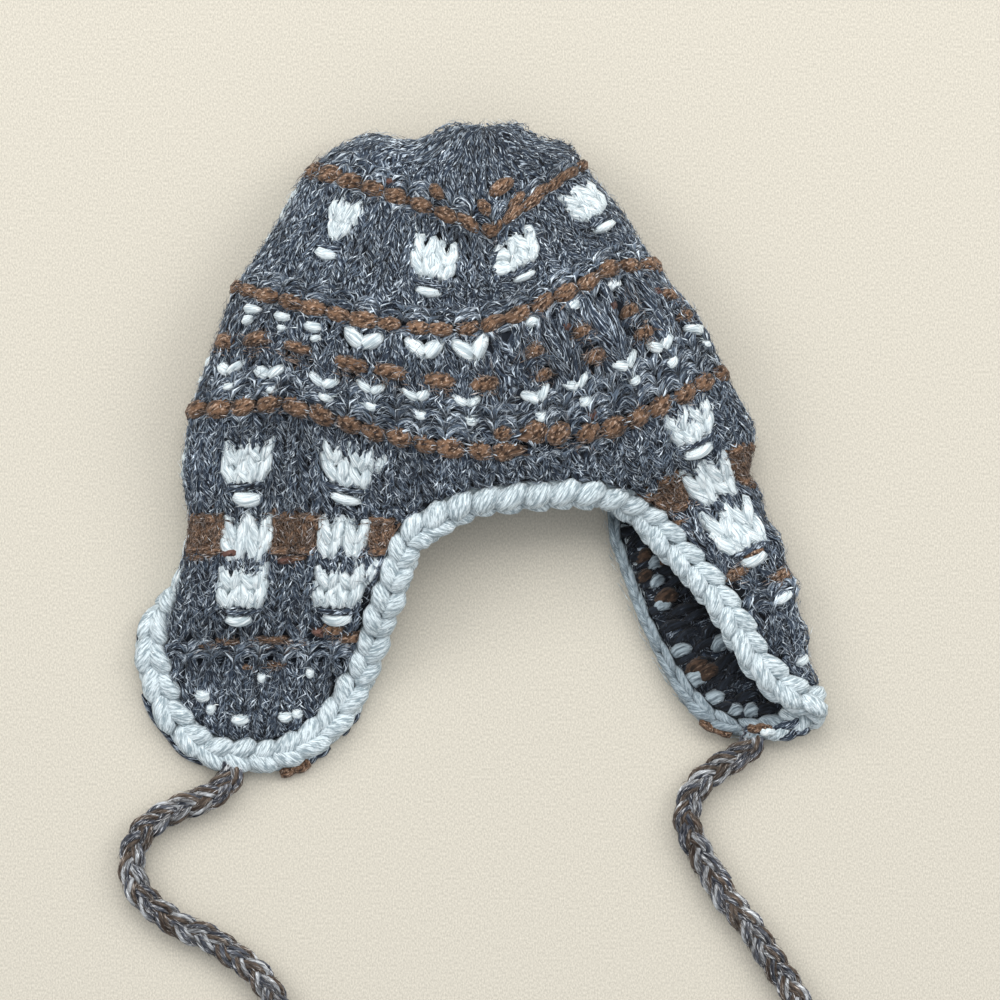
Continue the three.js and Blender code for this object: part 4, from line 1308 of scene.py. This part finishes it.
def round_average(values, reach):
    """A running average round a closed line of points one millimetre apart."""
    window = np.hanning(2 * reach + 3)[1:-1]
    window = window / window.sum()
    padded = np.concatenate([values[-reach:], values, values[:reach]])
    return np.stack([np.convolve(padded[:, k], window, mode="valid")
                     for k in range(values.shape[1])], axis=1)


HEM_POINTS = round(HEM_TOTAL)
HEM_PLACES = np.arange(HEM_POINTS) * HEM_TOTAL / HEM_POINTS


def around_hem(values):
    """Values along the hem, read again about every millimetre."""
    closed = np.vstack([values, values[:1]])
    return np.stack([np.interp(HEM_PLACES, hem_length, closed[:, k]) for k in range(3)], axis=1)


border_middle = round_average(around_hem(hem_middle), 4)
border_up = unit(round_average(around_hem(hem_upwards), 8))
border_along = unit(np.roll(border_middle, -1, 0) - np.roll(border_middle, 1, 0))
border_out = unit(round_average(unit(np.cross(border_along, border_up)), 6))
border_wale = np.interp(HEM_PLACES, hem_length[:-1], fine_wales)

# Where the hem is folded under the right flap, the border stands on its edge and reaches less far.
BORDER_REACH = np.array([
    (9.5, 1), (10.5, 0.9), (11.2, 0.7), (12, 0.55), (13, 0.62), (14, 0.4), (15, 0.35), (16, 0.4),
    (17.5, 1),
])
border_share = read_table(BORDER_REACH, 1, border_wale)


def on_border(along, reach, level):
    """A point of the border: along the hem, outwards from it and up from its middle, in mm."""
    place = np.asarray(along) / HEM_TOTAL * HEM_POINTS
    i = np.floor(place).astype(int)
    t = (place - i)[:, None]
    i, j = i % HEM_POINTS, (i + 1) % HEM_POINTS

    def read(values):
        return values[i] * (1 - t) + values[j] * t

    share = read(border_share[:, None])[:, 0]
    return (read(border_middle) + read(border_out) * (GAP + np.asarray(reach) * share)[:, None]
            + read(border_up) * np.asarray(level)[:, None])


# %% Chain of leaves
LEAF_PITCH = 12.4
TIP_PITCH = 3.0          # the leaves are this much closer together on the flaps' tips
LEAF_LENGTH = 14.5
LEAF_RADIUS = 3.9
LEAF_SIDES = 7
TURNED_SHARE = 0.85      # where the border reaches less far than this, painted shade greys it


def leaf_pattern():
    t = np.linspace(-1, 1, 7)
    x = t * LEAF_LENGTH / 2
    y = 2.4 * t
    z = 2.2 * (1 - t ** 2) - 1.1
    radius = LEAF_RADIUS * (0.36 + 0.68 * np.maximum(1 - t ** 2, 0) ** 0.42)
    tube = yarn_tube(np.stack([x, y, z], axis=1), radius, LEAF_SIDES, width=1.12, ends=0.6)
    return as_mesh(tube, "border_leaf")


LEAF = leaf_pattern()
from_tip = np.abs(np.abs(border_wale) - FLAP_WALE)
pitches = LEAF_PITCH - TIP_PITCH * smooth_step((2.8 - from_tip) / 1.3)
leaf_place = np.concatenate([[0], np.cumsum(1 / pitches)])
leaf_count = round(leaf_place[-1])
starts = np.interp(np.arange(leaf_count) * leaf_place[-1] / leaf_count, leaf_place,
                   np.arange(HEM_POINTS + 1) * HEM_TOTAL / HEM_POINTS)
leaves = []      # (along, reach, level, side to side, up or down, size, length)
for k, along in enumerate(starts):
    step = (starts[(k + 1) % leaf_count] - along) % HEM_TOTAL
    half, long = 0.5 * step, step / LEAF_PITCH
    wale = border_wale[int(along) % HEM_POINTS]
    arch = float(smooth_step((5.0 - abs(wale)) / 2.0))
    leaves.append((along, 9.3 + 1.0 * arch, 1.5 - 2.2 * arch, 1, 1, 1 - 0.12 * arch, long))
    leaves.append((along + 2, 3.5 + 1.6 * arch, 1.8 + 0.4 * arch, -1, 1, 1 + 0.22 * arch, long))
    leaves.append((along + half, 9.1, -1.5, 1, -1, 1.0, long))
    leaves.append((along + half + 2, 3.5, -1.8, -1, -1, 1.0, long))


def border_mesh():
    """All leaves as one mesh, each a little uneven."""
    count = len(leaves)
    mesh = copies([LEAF] * count, "border_leaves")
    points = places_of(mesh)
    owner = np.repeat(np.arange(count), len(LEAF.vertices))
    place_along, out, up, side, face, size, long = np.array(leaves)[owner].T
    stretch = rng.normal(1, 0.05, count)[owner] * long
    along = place_along + points[:, 0] * stretch + rng.normal(0, 0.5, count)[owner]
    reach = out + points[:, 1] * side * size + rng.normal(0, 0.35, count)[owner]
    level = up + points[:, 2] * face * size + rng.normal(0, 0.3, count)[owner]
    move_to(mesh, on_border(along, reach, level))
    # Leaves where the border is turned in under the flap get the greyer wool, painted shade.
    turned_in = np.interp([leaf[0] % HEM_TOTAL for leaf in leaves], HEM_PLACES,
                          border_share) < TURNED_SHARE
    numbers = np.repeat(turned_in, len(LEAF.polygons)).astype(np.int32)
    mesh.polygons.foreach_set("material_index", numbers)
    slide_streaks(mesh, [len(LEAF.loops)] * count)
    return mesh


finished(border_mesh(), "border_leaves", [BORDER_ICE, BORDER_IN_SHADE], ["edging"])

# %% [markdown]
# ## Yarn ends under the border
#
# Where colours were changed, ends of dark, brown and pale yarn are woven in behind the border and
# show a little past it. Each is a short strand that runs along the border, just outside or under
# it.

# %% Yarn ends
WOVEN_ENDS = [      # (from wale, to wale, how far out, how far up, thickness, wool)
    (-13.4, -11.5, 13.4, -2.0, 2.0, "heather"), (-9.0, -8.3, 14.6, -2.0, 2.9, "brown"),
    (-8.3, -7.7, 13.8, -2.5, 1.9, "heather"), (-7.3, -6.8, 13.4, -2.0, 1.9, "heather"),
    (-14.5, -13.9, 13.0, -2.0, 1.9, "heather"), (9.8, 10.7, 12.0, -3.6, 2.2, "heather"),
    (9.9, 11.7, 7.0, -4.6, 2.4, "heather"), (10.9, 11.6, 6.0, -6.0, 2.2, "brown"),
    (10.85, 11.2, 8.0, -6.6, 1.9, "ice"), (12.1, 12.8, 13.4, -2.5, 2.2, "brown"),
]
END_POINTS = 12


def end_strand(first, last, reach, level, thickness):
    """A short strand along the border, from one wale to another, that wavers a little."""
    spots = np.interp(np.linspace(first, last, END_POINTS), border_wale[:-1], HEM_PLACES[:-1])
    line = on_border(spots, reach + 0.5 * np.sin(np.arange(END_POINTS)),
                     np.full(END_POINTS, level))
    return yarn_tube(line, thickness, THIN_SIDES, ends=0.6)


for wool_name in ("heather", "brown", "ice"):
    strands = [(end_strand(*end[:5]), 0) for end in WOVEN_ENDS if end[5] == wool_name]
    mesh = join(strands, "woven_ends_" + wool_name)
    finished(mesh, "woven_ends_" + wool_name, [KNIT_WOOLS[wool_name]], ["edging"])

# %% [markdown]
# ## Fuzz
#
# Loose fibres lie over the stitches and stand off the outline as a halo. Particles of hair would
# not be kept in the exported shape, so each fibre is a thin closed spindle with six faces. One
# spindle is copied and then every copy is stretched between the ends of its own fibre. The
# fibres of a knit stitch follow its legs, those of a purl bump go over its arch, and some of the
# dark wool's fibres cross the brown ridges.

# %% Fibre helper
def spindle():
    """Two thin pyramids, base to base, one unit long each way."""
    bm = bmesh.new()
    bm.loops.layers.uv.new(UV_NAME)
    ring = bmesh.ops.create_circle(bm, cap_ends=False, segments=3, radius=1.0)["verts"]
    rim = list(bm.edges)
    for tip in (-1.0, 1.0):
        grown = bmesh.ops.extrude_edge_only(bm, edges=rim)["geom"]
        verts = [item for item in grown if isinstance(item, bmesh.types.BMVert)]
        bmesh.ops.pointmerge(bm, verts=verts, merge_co=(0, 0, tip))
    bmesh.ops.recalc_face_normals(bm, faces=bm.faces)
    print("a fibre has", len(bm.faces), "faces on", len(ring), "middle points")
    return as_mesh(bm, "fibre")


FIBRE = spindle()
FIBRES_AT_ONCE = 200     # copying blocks of fibres is much faster than copying single ones
SHADE_SPREAD = 400       # each fibre reads its shade anywhere in this many centimetres


def fibre_mesh(starts, middles, ends, thickness, name):
    """A spindle for every fibre, in millimetres, less the few that don't fill a block."""
    block = copies([FIBRE] * FIBRES_AT_ONCE, "fibres")
    blocks = len(starts) // FIBRES_AT_ONCE
    count = blocks * FIBRES_AT_ONCE
    mesh = copies([block] * blocks, name)
    corners = places_of(mesh).reshape(count, -1, 3)
    heading = unit(ends[:count] - starts[:count])
    side = unit(np.cross(heading, (0.31, 0.53, 0.79)))
    over = np.cross(heading, side)
    thick = np.asarray(thickness[:count])[:, None, None]
    ring = (corners[:, :, :1] * side[:, None] + corners[:, :, 1:2] * over[:, None]) * thick
    tip = corners[:, :, 2:]
    spot = np.where(tip < -0.5, starts[:count, None], np.where(tip > 0.5, ends[:count, None],
                                                               middles[:count, None]))
    move_to(mesh, spot + ring)
    shades = rng.uniform(0, SHADE_SPREAD, (count, 2))
    values = np.repeat(shades, len(mesh.loops) // count, axis=0)
    mesh.uv_layers[UV_NAME].data.foreach_set("uv", values.ravel())
    return mesh


# %% Fibres of the knit
FIBRE_ROWS = (0.2, 37.2)     # the first and the last row where a fibre starts


def chart_places(count):
    """Random places of the chart, spread evenly over the hat."""
    rows_way = np.gradient(SURFACE, axis=0)
    wales_way = (np.roll(SURFACE, -1, 1) - np.roll(SURFACE, 1, 1)) / 2
    area = np.linalg.norm(np.cross(rows_way, wales_way), axis=-1)
    wales = rng.uniform(-WALES / 2, WALES / 2, count * 8)
    rows = rng.uniform(*FIBRE_ROWS, count * 8)
    chance = sample(area, wales, rows) / np.percentile(area, 99)
    keep = (rng.uniform(0, 1, count * 8) < chance) & (rows < hem_row(wales) - 0.2)
    keep = np.flatnonzero(keep)[:count]
    return wales[keep], rows[keep]


outer_stitches = [stitch for stitch in knitted if not stitch[0].startswith("inner")]
stitch_spots = np.array([stitch[2:6] for stitch in outer_stitches])
stitch_spots[:, 1] += row_shift(stitch_spots[:, 0], stitch_spots[:, 1])
stitch_wools = np.array([stitch[1] for stitch in outer_stitches])
stitch_kinds = np.array([stitch[0] for stitch in outer_stitches])


def nearest_stitch(wales, rows):
    """The number of the nearest stitch of each place."""
    nearest = np.empty(len(wales), dtype=int)
    for part in np.array_split(np.arange(len(wales)), max(1, len(wales) // 1000)):
        gap = (((wales[part][:, None] - stitch_spots[:, 0]) / stitch_spots[:, 2]) ** 2
               + ((rows[part][:, None] - stitch_spots[:, 1]) / stitch_spots[:, 3]) ** 2)
        nearest[part] = gap.argmin(1)
    return nearest


# %% Fibres inside
SEEN_WALES = (8.5, 18)       # the part of the right flap's inside that can be seen
SEEN_FROM = 23
UNSEEN_SHARE = 0.3           # elsewhere inside only this share of the fibres is made


def inner_fibres(count):
    """Short fibres that mat the inside of the hat."""
    wales, rows = chart_places(count)
    seen = (local(wales) > SEEN_WALES[0]) & (local(wales) < SEEN_WALES[1]) & (rows > SEEN_FROM)
    keep = (rows > INSIDE_FROM) & (seen | (rng.uniform(0, 1, len(rows)) < UNSEEN_SHARE))
    wales, rows = wales[keep], rows[keep]
    count = len(wales)
    turn = rng.uniform(0, 2 * math.pi, count)
    reach = rng.uniform(2.5, 5.0, count)
    across, along = reach * np.cos(turn) / STITCH_WIDTH, reach * np.sin(turn) / STITCH_HEIGHT
    starts = wrap(*inside_hem(wales.copy(), rows.copy()), rng.uniform(-8.8, -6.8, count))
    middles = wrap(*inside_hem(wales + across / 2, rows + along / 2),
                   rng.uniform(-9.2, -7.6, count))
    tips = wrap(*inside_hem(wales + across, rows + along), rng.uniform(-9.0, -7.2, count))
    return fibre_mesh(starts, middles, tips, rng.uniform(0.12, 0.36, count), "inner_fuzz")


# %% Fibres outside
SEAM_CLEAR = 0.3         # places this near the seam get no fibre, so that its cut stays open,
CLEAR_ROWS = (6, 19)     # between these rows
LEG_SLANT = 0.42         # the legs of a V lean this far from the wale, in radians
CROWN_LEAN = 0.8         # how widely that varies on the gathered crown, where the fibres
CROWN_LENGTH = 0.65      # have this share of their length
ARCHED_FATTER = 1.25     # fibres over a purl bump's arch are this many times as thick
ACROSS_KINDS = ("purl", "ridge", "dot", "spot", "float")
RIDGE_RISE = 1.2         # fibres lie this much higher on the ridges
RIDGE_CROSSED = 0.4      # the share of a ridge's fibres that are of the dark wool
ARCHED_SHARE = 0.9       # the share of a purl bump's fibres that go over its arch,
CLOSE_SCATTER = 0.1      # where a layer's fibres lie closer to the stitches than this


def arched_fibres(spots, side):
    """The ends and middles of fibres that go over purl bumps, on one side of each."""
    wale, row, wide, tall = spots.T
    bow, lift = rng.normal(0, 0.07, (4, len(spots))), rng.uniform(0.2, 1.0, len(spots))
    starts = wrap(*inside_hem(wale + (0.04 + bow[0]) * side * wide, row + (bow[1] - 0.5) * tall),
                  lift - 0.6)
    middles = wrap(*inside_hem(wale + (0.36 + bow[2]) * side * wide, row + (bow[3] - 0.2) * tall),
                   lift)
    tips = wrap(*inside_hem(wale + (0.52 + bow[0]) * side * wide, row + (bow[2] + 0.45) * tall),
                lift - 0.8)
    return starts, middles, tips


def chart_fibres(count, length, lean, lift, thickness, scatter, shares):
    """Fibres that follow the stitches, with one end lifted: one mesh for each wool."""
    wales, rows = chart_places(count)
    keep = (np.abs(local(wales)) > SEAM_CLEAR) | (rows < CLEAR_ROWS[0]) | (rows > CLEAR_ROWS[1])
    wales, rows = wales[keep], rows[keep]
    count = len(wales)
    nearest = nearest_stitch(local(wales), rows)
    side = np.sign(local(wales) - stitch_spots[nearest, 0])
    flat = np.isin(stitch_kinds[nearest], ACROSS_KINDS)
    down = np.clip((rows - stitch_spots[nearest, 1]) / stitch_spots[nearest, 3], -0.6, 0.6)
    on_leg = side * stitch_spots[nearest, 2] * (0.25 - 0.2 * down + rng.normal(0, scatter, count))
    wales = np.where(flat, wales, stitch_spots[nearest, 0] + on_leg)
    crown = rows < GATHER_END
    slant = np.where(flat, math.pi / 2, LEG_SLANT) * side + rng.normal(0, lean, count)
    slant = slant + crown * rng.normal(0, CROWN_LEAN, count)
    shorter = np.where(crown, CROWN_LENGTH, 1)
    reach = rng.uniform(*length, count) * rng.choice((-1, 1), count) * shorter
    ends = rng.uniform(*lift, count)
    across = reach * np.sin(slant) / STITCH_WIDTH
    along = -reach * np.cos(slant) / STITCH_HEIGHT
    bend = rng.normal(0, 0.22, count)
    high = RIDGE_RISE * (stitch_kinds[nearest] == "ridge")
    starts = wrap(*inside_hem(wales.copy(), rows.copy()), high + rng.uniform(-0.6, 0.3, count))
    middles = wrap(*inside_hem(wales + across / 2 + bend * along,
                               np.maximum(rows + along / 2, FIRST_ROW)),
                   high + ends * 0.45 + rng.uniform(0.0, 0.5, count))
    tips = wrap(*inside_hem(wales + across, np.maximum(rows + along, FIRST_ROW)),
                high * 0.7 + ends)
    arched = (stitch_kinds[nearest] == "purl") & (rng.uniform(0, 1, count) < ARCHED_SHARE)
    if scatter < CLOSE_SCATTER:
        starts[arched], middles[arched], tips[arched] = arched_fibres(
            stitch_spots[nearest[arched]], side[arched])
    crossed = (stitch_kinds[nearest] == "ridge") & (rng.uniform(0, 1, count) < RIDGE_CROSSED)
    crossed |= stitch_wools[nearest] == "pale_heather"
    names = np.where(crossed, "heather", stitch_wools[nearest])
    thick = rng.uniform(*thickness, count) * np.where(arched, ARCHED_FATTER, 1)
    for wool_name, share in zip(("heather", "ice", "brown"), shares):
        chosen = (names == wool_name) & (rng.uniform(0, 1, count) < share)
        yield wool_name, fibre_mesh(starts[chosen], middles[chosen], tips[chosen], thick[chosen],
                                    wool_name + "_fuzz")


# (name, fibres, length, lean, lift of the loose end, thickness, scatter, share of each wool)
FIBRE_LAYERS = (
    ("streaks", 25000, (3.0, 6.0), 0.22, (-0.4, 0.6), (0.2, 0.42), 0.06, (1.0, 0.25, 0.9)),
    ("halo", 12000, (3.5, 8.0), 1.0, (0.8, 3.2), (0.07, 0.12), 0.2, (1.0, 0.25, 0.9)),
    ("felt", 30000, (1.5, 4.0), 1.3, (0.2, 1.6), (0.1, 0.2), 0.3, (0.1, 0.3, 1.0)),
)
FUZZ_WOOLS = {"heather": FUZZ, "ice": ICE, "brown": BROWN_FUZZ}
for label, *settings in FIBRE_LAYERS:
    for wool_name, mesh in chart_fibres(*settings):
        finished(mesh, wool_name + "_" + label, [FUZZ_WOOLS[wool_name]],
                 ["knit_body"])

# %% Fibres of the ties and the border


def fibres_round(line, radius, count, name):
    """Fibres that lie along a line and stand off it, for the ties and the border."""
    at = rng.integers(2, len(line) - 8, count)
    ahead = np.minimum(at + rng.integers(3, 8, count), len(line) - 1)
    heading = unit(line[ahead] - line[at])
    side = unit(np.cross((0, 0, 1), heading))
    turn = rng.uniform(-0.5, math.pi + 0.5, count)
    off = side * np.cos(turn)[:, None] + np.array((0, 0, 1)) * np.sin(turn)[:, None]
    drift = side * rng.normal(0, 0.8, count)[:, None]
    starts = line[at] + off * (radius * 0.85)
    tips = line[ahead] + drift + off * (radius + rng.uniform(0, 1.1, count)[:, None])
    middles = (starts + tips) / 2 + off * 0.5
    return fibre_mesh(starts, middles, tips, rng.uniform(0.06, 0.2, count), name)


PLAIT_RADIUS = 4.9
BORDER_RADIUS = 4.4
BORDER_MIDDLE = 6.4
for name, line in tie_lines.items():
    mesh = fibres_round(line, PLAIT_RADIUS, 1800, name + "_fuzz")
    finished(mesh, name + "_fuzz", [TIE_FUZZ], [name])
border_line = on_border(HEM_PLACES, np.full(HEM_POINTS, BORDER_MIDDLE), np.zeros(HEM_POINTS))
mesh = fibres_round(border_line, BORDER_RADIUS, 2000, "border_fuzz")
finished(mesh, "border_fuzz", [BORDER_ICE], ["edging"])
finished(inner_fibres(40000), "inner_fuzz", [INNER_FUZZ], ["knit_body"])

# %% [markdown]
# ## The table
#
# A plain pale cloth. Its weave is so fine that single threads don't show, so the same patchy
# finish as the wool's stands for it, with patches of about a millimetre that are longer one way.

# %% Table
TABLE_REACH = 4.0        # from its middle to its edge, in metres
TABLE_DROP = 0.2         # the table lies this far under the hat, so that no faces fight
CLOTH = (190, 185, 173)
CLOTH_ROUGHNESS = 0.9
WEAVE_SCALE = 1200.0
WEAVE_DETAIL = 2.0
WEAVE_CONTRAST = 0.16
WEAVE_BUMP = 0.3
WEAVE_HEIGHT = 0.3
WEAVE_STRETCH = (1.25, 0.75, 1.0)


def table_material():
    material, tint, height, weave = patchy_finish(
        "table_cloth", CLOTH_ROUGHNESS, WEAVE_SCALE, WEAVE_DETAIL, WEAVE_CONTRAST, WEAVE_BUMP,
        WEAVE_HEIGHT)
    nodes, links = material.node_tree.nodes, material.node_tree.links
    tint.default_value = colour(*CLOTH)
    threads = nodes.new("ShaderNodeMapping")
    threads.inputs["Scale"].default_value = WEAVE_STRETCH
    links.new(weave.inputs["Vector"].links[0].from_socket, threads.inputs["Vector"])
    links.new(threads.outputs[0], weave.inputs["Vector"])
    links.new(weave.outputs[0], height)
    return material


bm = bmesh.new()
bmesh.ops.create_grid(bm, x_segments=1, y_segments=1, size=TABLE_REACH)
table_mesh = as_mesh(bm, "table_top")
table_mesh.materials.append(table_material())
table_top = bpy.data.objects.new("table_top", table_mesh)
table_top.location.z = -TABLE_DROP * MM
scene.collection.objects.link(table_top)

# %% [markdown]
# ## Light
#
# Daylight from large windows. A wide soft light stands towards the crown, and one on each side,
# the stronger of the two on the right, so the hat's shadow is soft and lies towards the flaps. A
# pale sky all round keeps the shadows open. A sun lamp would draw hard edges that aren't there.

# %% Lights


def soft_light(name, place, target, size, power, tint):
    """A square window: places and size in metres, power in watts."""
    data = bpy.data.lights.new(name, "AREA")
    data.shape = "SQUARE"
    data.size = size
    data.energy = power
    data.color = tint
    light = bpy.data.objects.new(name, data)
    light.location = place
    aim = np.array(target) - np.array(place)
    light.rotation_euler = Vector(aim).to_track_quat("-Z", "Y").to_euler()
    scene.collection.objects.link(light)


soft_light("crown_window", (0.0, 1.6, 2.1), (0, -0.05, 0), 1.9, 42, (1.0, 0.99, 0.975))
soft_light("left_window", (-1.9, 0.9, 1.6), (0.1, 0.0, 0), 1.3, 26, (1.0, 0.985, 0.955))
soft_light("right_window", (2.1, 0.9, 2.0), (0, -0.05, 0), 1.7, 39, (1.0, 0.985, 0.955))
world = bpy.data.worlds.new("pale_room")
world.use_nodes = True
sky = world.node_tree.nodes["Background"]
sky.inputs["Color"].default_value = (0.95, 0.97, 1.0, 1.0)
sky.inputs["Strength"].default_value = 0.70
scene.world = world
